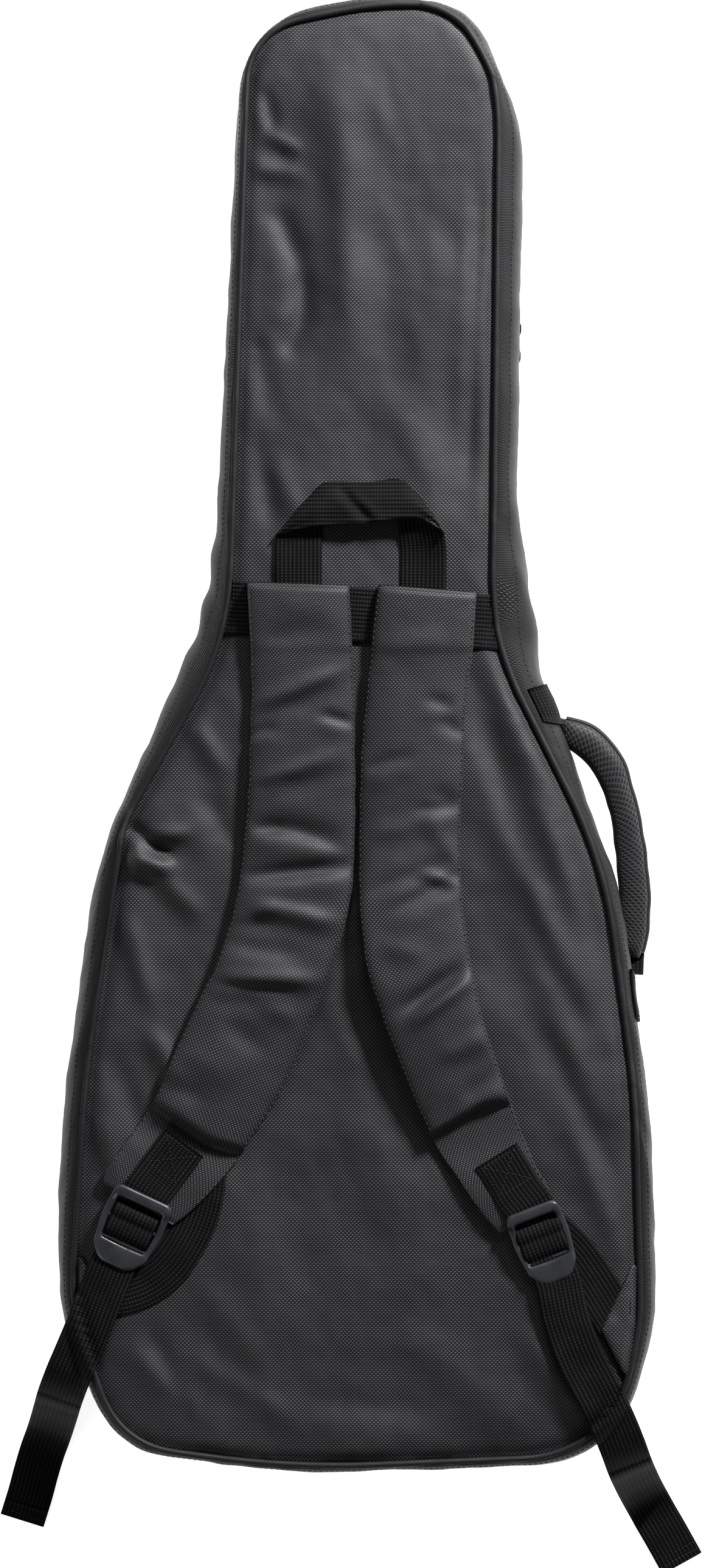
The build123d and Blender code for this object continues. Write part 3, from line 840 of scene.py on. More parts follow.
# ---- Shells --------------------------------------------------------------------------------
def round_cord(name, plan, z, radius, material, body, **more):
    """Piping: a round cord under cloth along a closed plan line."""
    path = np.column_stack([plan, z])
    forward = unit(np.roll(path, -1, axis=0) - np.roll(path, 1, axis=0))
    side = unit(np.cross(forward, np.array((0, 0, 1.0))))
    top = np.cross(side, forward)
    ring = ring_angles(14)
    section = np.stack([np.cos(ring), np.sin(ring)], 1) * radius
    points = swept(path, side, top, section)
    pull = 0.22 * line_noise(LOOP_AT, 5, 31)
    points = points + top[:, None, :] * pull[:, None, None]
    grid_piece(name, points, LOOP_ALONG, loop_lengths(section), material, body,
               wrap_rows=True, wrap_columns=True, **more)


def front_height(x, y):
    """Height of the front panel's cloth, which bulges down from its piping."""
    edge = distance_to_loop(x, y, seam_plan)
    bulge = crown_height(edge, 3.6, 2.2)
    soft = 0.9 * lattice_noise(x, y, 60, 41) + 0.4 * lattice_noise(x, y, 22, 42)
    pucker = 0.4 * lattice_noise(x + y, y - x, 9, 43) * np.exp(-edge / 9)
    return FRONT_Z + 1.2 - bulge - soft * smoothstep(edge / 14) - pucker


def seam_heights(height):
    """Height of a panel's cloth along its edge, evened out."""
    return smooth_closed(height(PANEL_PLAN[:, 0], PANEL_PLAN[:, 1]), 6)


def stitch_row(up):
    """Which row of a gusset grid carries the stitching beside the seam."""
    return 5 if up > 0 else 4


def shell(side, up):
    """One shell: panel, gusset, piping and its stitching."""
    body = side + "_shell"
    height = panel_height if up > 0 else front_height
    inner = (BACK_Z if up > 0 else FRONT_Z) - PADDING * up
    panel = plan_piece(side + "_panel_cloth", PANEL_PLAN, 3.6 if up > 0 else 6.0, height, CLOTH, body,
                       under=lambda x, y: np.full(len(x), inner), flip=(up < 0),
                       stands_for=(side + "_panel", side + "_padding"), slot="pack_cloth")
    wall, points = gusset(side + "_gusset_cloth_painted_shade", up, body,
                          stands_for=(side + "_gusset", side + "_side_padding"), slot="pack_cloth")
    round_cord(side + "_piping_cord", seam_plan, seam_heights(height) + 1.2 * up, CORD_RADIUS, PIPING, body,
               stands_for=(side + "_piping",), slot="piping")
    ups = facing(seam_plan, float(up))
    stitches(side + "_piping_stitches", points[:, stitch_row(up)] + (0, 0, 0.15 * up), ups, body,
             closed=True, slot="piping")
    return points


def loop_part(first, last):
    """Indices round the loop from one to another, going on past its end."""
    count = len(side_plan)
    return np.arange(first, last if last > first else last + count) % count


def nearest(x, y):
    """Index of the point of the side line nearest to a place."""
    return int(np.argmin((side_plan[:, 0] - x) ** 2 + (side_plan[:, 1] - y) ** 2))


SPINE_TOP = nearest(-90, high("spine_strip", 1))
SPINE_END = nearest(-215, low("spine_strip", 1))
ZIP_PART = loop_part(SPINE_END, SPINE_TOP)
SPINE_PART = loop_part(SPINE_TOP, SPINE_END)


def inset_line(part, inset, z):
    """A line round the bag at an inset from its side line, in millimetres."""
    plan = side_plan[part] - SIDE_NORMAL[part] * inset
    return at_height(plan, z)


def zipper(side, up):
    """Tape and moulded teeth of one half of the main zipper."""
    body = side + "_shell"
    profile = [(4.6, 11.5), (3.9, 8.0), (3.5, 4.5), (3.3, 1.2), (2.5, 1.0), (2.6, 4.5), (3.0, 8.0)]
    points = np.stack([inset_line(ZIP_PART, inset, ZIP_Z + z * up) for inset, z in profile], 1)
    ripple = 0.25 * line_noise(LOOP_AT[ZIP_PART], 14, 51 + up)
    points = points + (SIDE_NORMAL[ZIP_PART] * ripple[:, None])[:, None, :] @ np.eye(2, 3)
    along = line_lengths(points[:, 0])
    grid_piece(side + "_zipper_tape_cloth", points, along, np.array([0, 3.5, 7, 10.3, 11.2, 14.7, 18.2, 21]),
               TAPE, body, wrap_columns=True, flip=(up < 0), stands_for=(side + "_zipper_tape",),
               slot="zipper_tape")
    row = even(inset_line(ZIP_PART, TEETH_INSET, ZIP_Z), TOOTH_PITCH)
    if up < 0:
        row = row[:-1] + np.diff(row, axis=0) / 2
    forward = unit(np.gradient(row, axis=0))
    out = np.cross(forward, (0, 0, 1.0))
    tooth = np.array([(-0.85, -1.3, 3.0), (0.85, -1.3, 3.0), (0.85, 0.9, 3.0), (-0.85, 0.9, 3.0),
                      (-0.85, -1.3, 0.9), (0.85, -1.3, 0.9), (0.85, 1.1, 0.9), (-0.85, 1.1, 0.9),
                      (-0.55, -0.9, -0.55), (0.55, -0.9, -0.55), (0.55, 0.7, -0.55), (-0.55, 0.7, -0.55)])
    points = (row[:, None, :] + forward[:, None, :] * tooth[None, :, 0, None]
              + out[:, None, :] * tooth[None, :, 1, None]
              + np.array((0, 0, up * 1.0)) * tooth[None, :, 2, None])
    one = [[3, 2, 1, 0]] + [[k, (k + 1) % 4, (k + 1) % 4 + 4, k + 4] for k in range(4)]
    one += [[k + 4, (k + 1) % 4 + 4, (k + 1) % 4 + 8, k + 8] for k in range(4)] + [[8, 9, 10, 11]]
    if up < 0:
        one = [f[::-1] for f in one]
    faces = (np.arange(len(row))[:, None, None] * 12 + np.array(one)[None]).reshape(-1, 4).tolist()
    cloth = np.tile(np.array([(0, 0), (1.7, 0), (1.7, 2), (0, 2)]), (len(faces), 1))
    piece(side + "_zipper_teeth_row", points.reshape(-1, 3), faces, cloth, TEETH, body,
          stands_for=(side + "_zipper_teeth",), slot="zipper_coil", smooth=False)


def lining(side, up):
    """Soft lining: a tray on the panel's padding and a wall round it."""
    body = side + "_shell"
    face = (BACK_Z if up > 0 else FRONT_Z) - LINING_DEPTH * up
    loop = side_plan - SIDE_NORMAL * LINING_INSET
    drift = 30.0 if up > 0 else 60.0

    def soft(x, y):
        puff = 0.5 * lattice_noise(x, y, 24, 61) + 0.9 * lattice_noise(x, y, drift, 62)
        return face - up * (0.9 + puff)

    tray = plan_piece(side + "_lining_cloth", loop, 9.0, soft, LINING, body, flip=(up > 0),
                      under=lambda x, y: np.full(len(x), face + 0.3 * up),
                      stands_for=(side + "_lining",), slot="lining")
    profile = [(19.8, 10.2), (19.0, 22.0), (18.2, 34.0), (16.0, 43.5), (10.0, 45.6), (5.2, 45.2), (4.9, 40.0)]
    outer = BACK_Z if up > 0 else FRONT_Z
    rows = []
    for k, (inset, depth) in enumerate(profile):
        wave = 0.6 * line_noise(LOOP_AT, 26, 63, k * 9) * (1 if 0 < k < 5 else 0)
        plan = side_plan - SIDE_NORMAL * (inset + wave)[:, None]
        rows.append(at_height(plan, outer - depth * up))
    points = np.stack(rows, 1)
    across = np.array([0, 12, 24, 34, 41, 46, 51.0])
    wall = grid_piece(side + "_lining_wall", points, LOOP_ALONG, across, LINING, body, wrap_rows=True,
                      flip=(up > 0), slot="lining")


def spine():
    """Strip that hinges the shells together beside the neck and body."""
    levels = np.linspace(-SPINE_HALF, SPINE_HALF, 9)
    rows = [inset_line(SPINE_PART, 3.2 - 1.1 * math.cos(z / SPINE_HALF * math.pi / 2),
                       ZIP_Z + z) for z in levels]
    points = np.stack(rows, 1)
    wave = 0.3 * line_noise(LOOP_AT[SPINE_PART], 12, 71)
    points[:, 2:7, :2] += (SIDE_NORMAL[SPINE_PART] * wave[:, None])[:, None, :]
    along = line_lengths(points[:, 0])
    strip = grid_piece("spine_cloth", points, along, levels, SHADED_SIDE_CLOTH, None, stands_for=("spine_strip",),
                       slot="pack_cloth")
    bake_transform(strip)


def wear_patch(name, node):
    """Wear patch sewn to the lining, with rounded corners and a raised rim."""
    x0, y0 = low(node, 0), low(node, 1)
    x1, y1 = high(node, 0), high(node, 1)
    loop, _ = rounded_loop([(x0, y1, 12), (x0, y0, 12), (x1, y0, 12), (x1, y1, 12)], step=3.0)
    top = FRONT_Z + 11.0

    def height(x, y):
        edge = distance_to_loop(x, y, loop)
        return top + 1.0 - 0.9 * np.exp(-edge / 1.6) + 0.5 * np.exp(-((edge - 4.5) / 1.6) ** 2)

    plan_piece(name, loop, 6.0, height, VINYL, "front_shell", stands_for=(node,),
               under=lambda x, y: np.full(len(x), top - 0.4), slot="wear_patch", margins=(1.5, 3.0, 5.0))
    ups = facing(loop)
    line = loop - loop_normals(loop) * 3.0
    stitches(name + "_stitches", at_height(line, top + 1.0), ups, "front_shell",
             closed=True, slot="wear_patch")


# ---- Pocket --------------------------------------------------------------------------------
def pocket():
    """Front pocket: its panel, its gusset and their stitching."""
    inner = side_plan - SIDE_NORMAL * POCKET_INSET
    keep = np.flatnonzero(inner[:, 1] < POCKET_TOP - 3)
    jump = np.flatnonzero(np.diff(keep) > 1)
    if len(jump):
        keep = np.concatenate([keep[jump[0] + 1:], keep[:jump[0] + 1]])
    side = inner[keep]
    right = side[-1]
    left = side[0]
    mouth = np.column_stack([np.linspace(right[0] - 2, left[0] + 2, 50), np.full(50, POCKET_TOP - 0.6)])
    loop = np.vstack([side, mouth])
    loop = smooth_closed(loop, 2)
    normal = loop_normals(loop)

    def height(x, y):
        edge = distance_to_loop(x, y, loop)
        soft = 0.25 * lattice_noise(x, y, 30, 81)
        return 0.5 + 2.2 * np.exp(-edge / 5) + np.abs(soft) * smoothstep(edge / 8)

    panel = plan_piece("pocket_panel_cloth", loop - normal * 1.5, 7.0, height, CLOTH, "front_shell",
                       flip=True,
                       under=lambda x, y: height(x, y) + 1.2, stands_for=("pocket_panel",), slot="pack_cloth")
    area = abs(signed_area(loop)) * MM * MM
    lengths = loop_lengths(loop)
    profile = [(1.8, 1.9), (-0.4, 3.4), (-1.1, 6.0), (-0.9, 8.6), (0.6, 11.5)]
    rows = []
    for inset, z in profile:
        wave = 0.35 * line_noise(lengths[:-1], 14, 82, z)
        rows.append(at_height(loop - normal * (inset + wave)[:, None], z))
    grid_piece("pocket_gusset_cloth_painted_shade", np.stack(rows, 1), lengths, np.array([0, 3, 6, 9, 12.5]), SHADED_SIDE_CLOTH,
               "front_shell", wrap_rows=True, stands_for=("pocket_gusset",), slot="pack_cloth", flip=True)
    ups = facing(loop, -1.0)
    line = loop - normal * 5.0
    stitches("pocket_stitches", np.column_stack([line, height(line[:, 0], line[:, 1]) - 0.1]), ups,
             "front_shell", closed=True, slot="pack_cloth")


def pocket_zipper():
    """Coil zipper across the pocket's mouth."""
    y = POCKET_TOP + 0.9
    half = high("pocket_zipper_tape", 0)
    x = np.linspace(-half, half, 96)
    bow = 0.4 * line_noise(x, 20, 91)
    rows = [np.column_stack([x, y + bow + out, np.full(96, z)])
            for out, z in ((-0.6, 2.4), (0.0, 4.2), (0.2, 6.9), (0.0, 9.6), (-0.6, 11.4))]
    grid_piece("pocket_zipper_tape_cloth", np.stack(rows, 1), x, np.array([0, 2, 4.5, 7, 9.0]), TAPE,
               "front_shell", stands_for=("pocket_zipper_tape",), slot="zipper_tape", flip=True)
    coils = []
    faces = []
    for k, place in enumerate(np.arange(-half + 4, half - 4, 1.5)):
        lift = 0.4 * float(lattice_noise(place, 0.0, 20, 91))
        tilt = 0.35 if k % 2 else -0.35
        ring = [(place + tilt * math.cos(a) * 2, y + lift + 0.9 + 0.75 * math.sin(a), 7.0 + 1.9 * math.cos(a))
                for a in ring_angles(8)]
        base = len(coils)
        coils += [(px - 0.35, py, pz) for px, py, pz in ring] + [(px + 0.35, py, pz) for px, py, pz in ring]
        faces += [[base + i, base + (i + 1) % 8, base + 8 + (i + 1) % 8, base + 8 + i] for i in range(8)]
        faces += [[base + i for i in range(8)][::-1], [base + 8 + i for i in range(8)]]
    total = sum(len(f) for f in faces)
    piece("pocket_zipper_coil", coils, faces, np.zeros((total, 2)), TEETH, "front_shell",
          stands_for=("pocket_zipper_teeth",), slot="zipper_coil")


# ---- Hard parts ----------------------------------------------------------------------------
def pebble(name, outline, thickness, rounding, place, material, body, **more):
    """Flat part with rounded rims: its outline in its own plane, moved by place."""
    loop = np.array(outline, float)
    normal = loop_normals(loop)
    if signed_area(loop) < 0:
        loop = loop[::-1]
        normal = normal[::-1]
    angles = np.linspace(0, math.pi / 2, 5)
    rings = [(rounding * (1 - math.sin(a)), -thickness / 2 + rounding * (1 - math.cos(a))) for a in angles]
    rings += [(inset, -z) for inset, z in rings[::-1]]
    points = np.stack([at_height(loop - normal * inset, z) for inset, z in rings])
    flat = points.reshape(-1, 3)
    moved = np.array([place(p) for p in flat])
    count = len(loop)
    corners, _ = grid_faces(len(rings), count, False, True)
    faces = corners[:, ::-1].tolist()
    faces.append(list(range(count))[::-1])
    faces.append([(len(rings) - 1) * count + j for j in range(count)])
    cloth = np.array([flat[i, :2] for f in faces for i in f])
    piece(name, moved, faces, cloth, material, body, **more)


def axes_place(origin, x_axis, y_axis, z_axis):
    """A function that moves points from flat axes to the bag."""
    origin, x_axis, y_axis, z_axis = (np.array(v, float) for v in (origin, x_axis, y_axis, z_axis))
    return lambda p: origin + x_axis * p[0] + y_axis * p[1] + z_axis * p[2]


def tube(name, path, radius, material, body, around=12, closed=False, **more):
    """Round bar or wire along a line, in millimetres."""
    line = np.array(path, float)
    if closed:
        forward = unit(np.roll(line, -1, axis=0) - np.roll(line, 1, axis=0))
    else:
        forward = unit(np.gradient(line, axis=0))
    helper = np.array((0.0, 0.0, 1.0)) if abs(forward[0][2]) < 0.8 else np.array((1.0, 0.0, 0.0))
    side = unit(np.cross(forward, np.broadcast_to(helper, line.shape)))
    top = np.cross(side, forward)
    ring = ring_angles(around)
    section = np.stack([np.cos(ring), np.sin(ring)], 1) * radius
    points = swept(line, side, top, section)
    count = len(line) + (1 if closed else 0)
    grid_piece(name, points, np.arange(count) * 1.0, loop_lengths(section), material, body, flip=True,
               wrap_rows=closed, wrap_columns=True, caps=not closed, **more)


def rounded_plan(corners, step=0.8):
    """Points round a small loop of rounded corners."""
    return rounded_loop(corners, step=step)[0]


def main_slider(name, body_slider, body_pull):
    """Zipper slider with a bridge; a wire ring rests on the bridge and holds the rubber pull."""
    y = 0.5 * (low(body_slider, 1) + high(body_slider, 1))
    x = low(body_slider, 0) + 1.6
    place = axes_place((x, y, ZIP_Z), (0, 1, 0), (0, 0, 1), (1, 0, 0))
    shape = rounded_plan([(-6, 2.6, 1), (-6, -2.6, 1), (-1, -3.4, 2), (4, -4.2, 1.6), (6, -2.6, 1.2),
                          (6, 2.6, 1.2), (4, 4.2, 1.6), (-1, 3.4, 2)])
    pebble(name + "_plate", shape, 2.2, 0.7, place, SLIDER, body_slider, stands_for=(body_slider,),
           slot="zipper_metal")
    arch = spline([(x + 0.8, y - 4, ZIP_Z), (x + 2.6, y - 3, ZIP_Z), (x + 2.9, y, ZIP_Z),
                   (x + 2.6, y + 3, ZIP_Z), (x + 0.8, y + 4, ZIP_Z)], 14)
    tube(name + "_bridge", arch, 0.75, SLIDER, body_slider, slot="zipper_metal")
    px = 0.5 * (low(body_pull, 0) + high(body_pull, 0)) - 1.2
    ring = [(px, y + 2.6 * math.cos(a), ZIP_Z - 3.4 + 3.6 * math.sin(a)) for a in ring_angles(20)]
    tube(name + "_ring", ring, 0.6, SLIDER, body_pull, closed=True, around=8, slot="zipper_metal")
    tab = rounded_plan([(-2.2, 0, 1), (-3.6, -8, 3), (-3.8, -19, 3), (3.8, -19, 3), (3.6, -8, 3),
                        (2.2, 0, 1)])
    hang = axes_place((px, y, ZIP_Z - 6.2), (0, 1, 0), (0, 0, 1), (1, 0, 0))
    pebble(name + "_pull", tab, 1.9, 0.8, hang, RUBBER, body_pull, stands_for=(body_pull,), slot="pull_tab")
    for k in range(4):
        z = ZIP_Z - 14 - 2.4 * k
        rib = [(px + 0.9, y - 2.4, z), (px + 1.05, y, z), (px + 0.9, y + 2.4, z)]
        tube(name + "_pull_rib_" + str(k + 1), rib, 0.35, RUBBER, body_pull, around=8, slot="pull_tab")


def pocket_slider():
    """Small slider at the left end of the pocket's mouth, and its pull lying along it."""
    x = 0.5 * (low("pocket_slider", 0) + high("pocket_slider", 0))
    y = POCKET_TOP + 2.6
    z = 0.5 * (low("pocket_slider") + high("pocket_slider"))
    place = axes_place((x, y, z), (1, 0, 0), (0, 0, 1), (0, -1, 0))
    shape = rounded_plan([(-4.6, 1.8, 0.8), (-4.6, -1.8, 0.8), (3, -2.6, 1.2), (4.8, -1.6, 0.8),
                          (4.8, 1.6, 0.8), (3, 2.6, 1.2)], 0.6)
    pebble("pocket_slider_plate", shape, 1.8, 0.6, place, SLIDER, "pocket_slider",
           stands_for=("pocket_slider",),
           slot="zipper_metal")
    arch = spline([(x - 3, y + 0.6, z), (x - 2.2, y + 1.9, z), (x, y + 2.2, z), (x + 2.2, y + 1.9, z),
                   (x + 3, y + 0.6, z)], 12)
    tube("pocket_slider_bridge", arch, 0.6, SLIDER, "pocket_slider", around=8, slot="zipper_metal")
    tab = rounded_plan([(1.5, 1.2, 0.6), (1.5, -1.2, 0.6), (10, -2.8, 2), (27, -2.8, 2), (27, 2.8, 2),
                        (10, 2.8, 2)])
    pull = axes_place((x + 0.5, 0.5 * (low("pocket_pull", 1) + high("pocket_pull", 1)) + 0.4, z),
                      (1, 0, 0), (0, 0, 1), (0, -1, 0))
    pebble("pocket_pull_tab", tab, 1.5, 0.6, pull, RUBBER, "pocket_pull", stands_for=("pocket_pull",),
           slot="pull_tab")


# ---- Straps --------------------------------------------------------------------------------
# Pairs of edge points down each shoulder pad: left x, left y, right x, right y.
LEFT_PAD = [
    (-79, 111.5, -5, 109), (-78, 90, -3.6, 85), (-77, 66, -2.6, 57), (-76.5, 26, -1.2, 22),
    (-78, -14, -0.8, -14), (-79.5, -45, -0.7, -47), (-83, -84, -1.2, -84), (-87.5, -117, -3.5, -115),
    (-92, -135, -11.5, -148), (-103, -168, -26.5, -190), (-116.5, -195, -41, -228), (-132, -229, -56, -261),
    (-147.5, -265, -73, -287), (-161.5, -285, -88.5, -310), (-172.5, -302, -106, -331),
    (-182, -316, -123, -347), (-183.5, -324, -133, -354),
]
RIGHT_PAD = [
    (16.3, 109.5, 87.5, 104), (13, 88, 86, 84), (10.6, 66, 84.7, 64), (6.2, 26, 79.5, 26),
    (2.8, -14, 78, -14), (1.6, -47, 76, -47), (1.4, -84, 75.5, -84), (1.4, -109, 76.3, -109),
    (3, -137, 78, -133), (7, -168, 82, -159), (17, -199, 87, -184), (26.5, -225, 93.5, -212),
    (41, -261, 104, -243), (51.5, -284, 114.5, -273), (61.5, -304, 122, -293), (73, -320, 129.5, -311),
    (84, -336, 135.5, -320), (94.5, -350, 139.5, -328), (103, -360, 142, -336),
]
# Folds of the pads' covers, as for the panel.
LEFT_PAD_FOLDS = [
    (-74, 22, -12, 47, 6, 2.3), (-76, -36, -8, -13, 5.5, 2.5), (-26, 16, -2, 9, 4, -1.6),
    (-78, 0, -60, 7, 4, -1.5), (-72, -64, -10, -73, 8, -1.9), (-82, -102, -2, -93, 6, -2.6),
    (-80, -121, -18, -137, 7, 2.2), (-104, -176, -26, -177, 7, 2.7), (-98, -150, -40, -158, 7, -1.4),
    (-96, -206, -66, -228, 9, -1.2), (-130, -226, -90, -252, 12, 1.0), (-60, 96, -12, 92, 12, 0.8),
    (-70, 68, -30, 78, 8, -0.9), (-75, -67, -49, -65, 5, -1.3), (-49, -65, -7, -83, 5, -0.9),
    (-88, -132, -59, -122, 5, 1.2), (-59, -122, -14, -135, 5, 0.7), (-76, -38, -49, -28, 4.5, -1.2),
    (-49, -28, -6, -12, 4.5, -1.0), (-104, -178, -46, -183, 4, -1.4), (-140, -250, -110, -262, 7, -1.0),
    (-70, -196, -44, -204, 7, 1.0),
]
RIGHT_PAD_FOLDS = [
    (24, -128, 82, -97, 6, -1.6), (84, -173, 40, -208, 6, 2.8), (78, -168, 30, -200, 6, -1.8),
    (60, 12, 80, 0, 5, -1.2), (54, -40, 78, -50, 6, -1.0), (10, -70, 40, -66, 7, 1.0),
    (20, 60, 60, 72, 10, 0.8), (62, -232, 96, -216, 7, 1.3), (78, -262, 104, -240, 7, -1.2),
    (52, -60, 76, -96, 6, 0.9), (6, -25, 39, -13, 5, -1.2), (42, -54, 73, -51, 5, -1.3),
    (46, -98, 73, -108, 4, 1.5), (10, -112, 70, -90, 6, -1.2), (16, -150, 50, -160, 7, 0.9),
    (50, 28, 70, 20, 5, -1.2),
]


def cushion(rows, bottom, thickness, folds, spacing=2.2, around=24, square=0.34):
    """Grid of a soft pad between two edge lines, and lengths along and across its cover."""
    line = even(spline(rows, 240), spacing * 1.41)
    left = line[:, :2]
    right = line[:, 2:]
    middle = (left + right) / 2
    half = np.linalg.norm(right - left, axis=1) / 2
    side = unit(right - left)
    along = line_lengths(middle)
    angles = np.linspace(-math.pi / 2, math.pi / 2, around)
    across = np.sin(angles)
    profile = np.cos(angles) ** square
    plan = middle[:, None, :] + side[:, None, :] * (half[:, None] * across[None, :])[..., None]
    depth = thickness(along[:, None], across[None, :], along[-1])
    floor = bottom(plan[..., 0], plan[..., 1], along[:, None])
    steady = smooth_rows(floor.mean(1), 12)[:, None]
    base = 0.5 * floor + 0.5 * steady
    swell = 1.75 * ridge_field(plan[..., 0], plan[..., 1], folds) * profile[None, :]
    soft = (0.35 * lattice_noise(plan[..., 0], plan[..., 1], 16, 101)
            + 0.15 * lattice_noise(plan[..., 0], plan[..., 1], 7, 102)) * profile[None, :]
    top = base + 0.5 + (depth * profile[None, :]) + (swell + soft) * np.clip(depth / 9, 0.25, 1)
    under = np.sin(angles[1:-1])[::-1]
    low_plan = middle[:, None, :] + side[:, None, :] * (half[:, None] * under[None, :])[..., None]
    low_z = bottom(low_plan[..., 0], low_plan[..., 1], along[:, None]) * 0.5 + steady * 0.5
    low_z = low_z + 0.5 - 0.3 * np.cos(angles[1:-1])[None, ::-1]
    wavy = 0.45 * line_noise(along, 11, 103)
    points = np.concatenate([np.dstack([plan, top]), np.dstack([low_plan, low_z])], 1)
    points[..., :2] += (side * wavy[:, None])[:, None, :]
    width = loop_lengths(points[len(points) // 2])
    return points, along, width


def smooth_rows(values, reach):
    """Running mean of values along a line."""
    kernel = np.ones(2 * reach + 1) / (2 * reach + 1)
    padded = np.concatenate([np.full(reach, values[0]), values, np.full(reach, values[-1])])
    return np.convolve(padded, kernel, "valid")


def end_closing(along, length, first=6.0, last=5.0):
    """Rounds a cushion's two ends."""
    rise = np.sqrt(np.clip(1 - (1 - np.clip(along / first, 0, 1)) ** 2, 0.0, 1))
    fall = np.sqrt(np.clip(1 - (1 - np.clip((length - along) / last, 0, 1)) ** 2, 0.0, 1))
    return np.minimum(0.25 + 0.75 * rise, 0.3 + 0.7 * fall)


def shoulder_pad(side, rows, folds, seam_from_end):
    """Padded strap: full down to a curved seam, then a flat tongue that carries the buckle's patch."""
    def thickness(along, across, length):
        seam = length - seam_from_end + 12 * np.clip(across + 0.6, -0.4, 0.9) * (1 if side == "left" else -1)
        tongue = smoothstep((along - seam + 7) / 9)
        full = PAD_THICK * (1 - tongue) + TONGUE_THICK * tongue
        crease = 0.9 * np.exp(-((along - seam - 1.5) / 1.6) ** 2)
        return (full - crease) * end_closing(along, length)

    def bottom(x, y, along):
        over_band = 2.0 * smoothstep((y - 58) / 8)
        tail_end = 3.6 * smoothstep((along - along.max() + 62) / 26)
        rise = PAD_RISE[side] * np.exp(-(((y + 185) / 85) ** 2))
        return panel_height(x, y) + over_band + tail_end + rise

    points, along, width = cushion(rows, bottom, thickness, folds)
    pad = grid_piece(side + "_shoulder_pad", points, along, width, STRAP_CLOTH, None, **SOLID,
                     slot="pack_cloth",
                     stands_for=[side + "_strap_" + part for part in ("backing", "foam", "cover")])
    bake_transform(pad)
    for k, column in enumerate((2, 21)):
        row = points[3:-8, column] + (0, 0, 0.15)
        ups = facing(row)
        seam = stitches(side + "_pad_stitches_" + str(k + 1), row, ups, None, length=2.9, pitch=4.4,
                        width=0.85,
                        slot="pack_cloth")
        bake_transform(seam)


def over_panel(x, y, lift):
    """Height at a lift above the back panel at one place."""
    return float(panel_height(np.array([x]), np.array([y]))[0]) + lift


def laid(points, lift):
    """A plan line laid on the back panel's cloth at a lift above it."""
    line = even(np.array(points, float), 3.0)
    z = panel_height(line[:, 0], line[:, 1])
    z = smooth_rows(z, 2) + lift
    return np.column_stack([line, z])


def draped_ribbon(name, line, width, lift, body, thickness=1.7, trim=None, **more):
    """Webbing that lies on the panel and follows its swells across its width as well."""
    path = even(np.array(line, float), 2.2)
    forward = unit(np.gradient(path, axis=0))
    side = np.stack([forward[:, 1], -forward[:, 0]], 1)
    section = ribbon_section(width, thickness, 13)
    plan = path[:, None, :] + side[:, None, :] * section[None, :, 0, None]
    ground = panel_height(plan[..., 0], plan[..., 1])
    ground = 0.6 * ground + 0.4 * smooth_rows(ground.mean(1), 3)[:, None]
    points = np.dstack([plan, ground + lift + section[None, :, 1] + thickness / 2])
    points[..., 0] = np.clip(points[..., 0], seam_x(points[..., 1], -1) + 2.5,
                             seam_x(points[..., 1], 1) - 2.5)
    if trim:
        points[..., 1] = np.minimum(points[..., 1], trim(points[..., 0]))
    along = line_lengths(path)
    return grid_piece(name, points, along, loop_lengths(section), WEBBING, body, **SOLID, slot="webbing",
                      **more)


def seam_x(y, direction):
    """X of the panel's seam at heights up the neck, on its left (-1) or right (1) side."""
    part = seam_plan[(seam_plan[:, 0] * direction > 60) & (np.abs(seam_plan[:, 1] - 110) < 90)]
    order = np.argsort(part[:, 1])
    return np.interp(y, part[order, 1], part[order, 0])


def strap_band():
    """Webbing across the neck over the tops of the pads, and its stitching."""
    draped_ribbon("strap_band_webbing", [BAND_START, BAND_END], BAND_WIDTH, 0.4, "back_shell",
                  stands_for=("strap_band",))
    slope = (BAND_END[1] - BAND_START[1]) / (BAND_END[0] - BAND_START[0])
    for k, (x0, x1) in enumerate(((-93.5, -83.0), (-2.0, 12.5), (90.0, 101.0))):
        y = BAND_START[1] + slope * (x0 - BAND_START[0])
        for m, off in enumerate((15.6, -15.6)):
            row = laid([(x0, y + off), (x1, y + off + slope * (x1 - x0))], 2.3)
            stitches("strap_band_stitches_" + str(2 * k + m + 1), row, facing(row),
                     "back_shell", **WEBBING_STITCH)


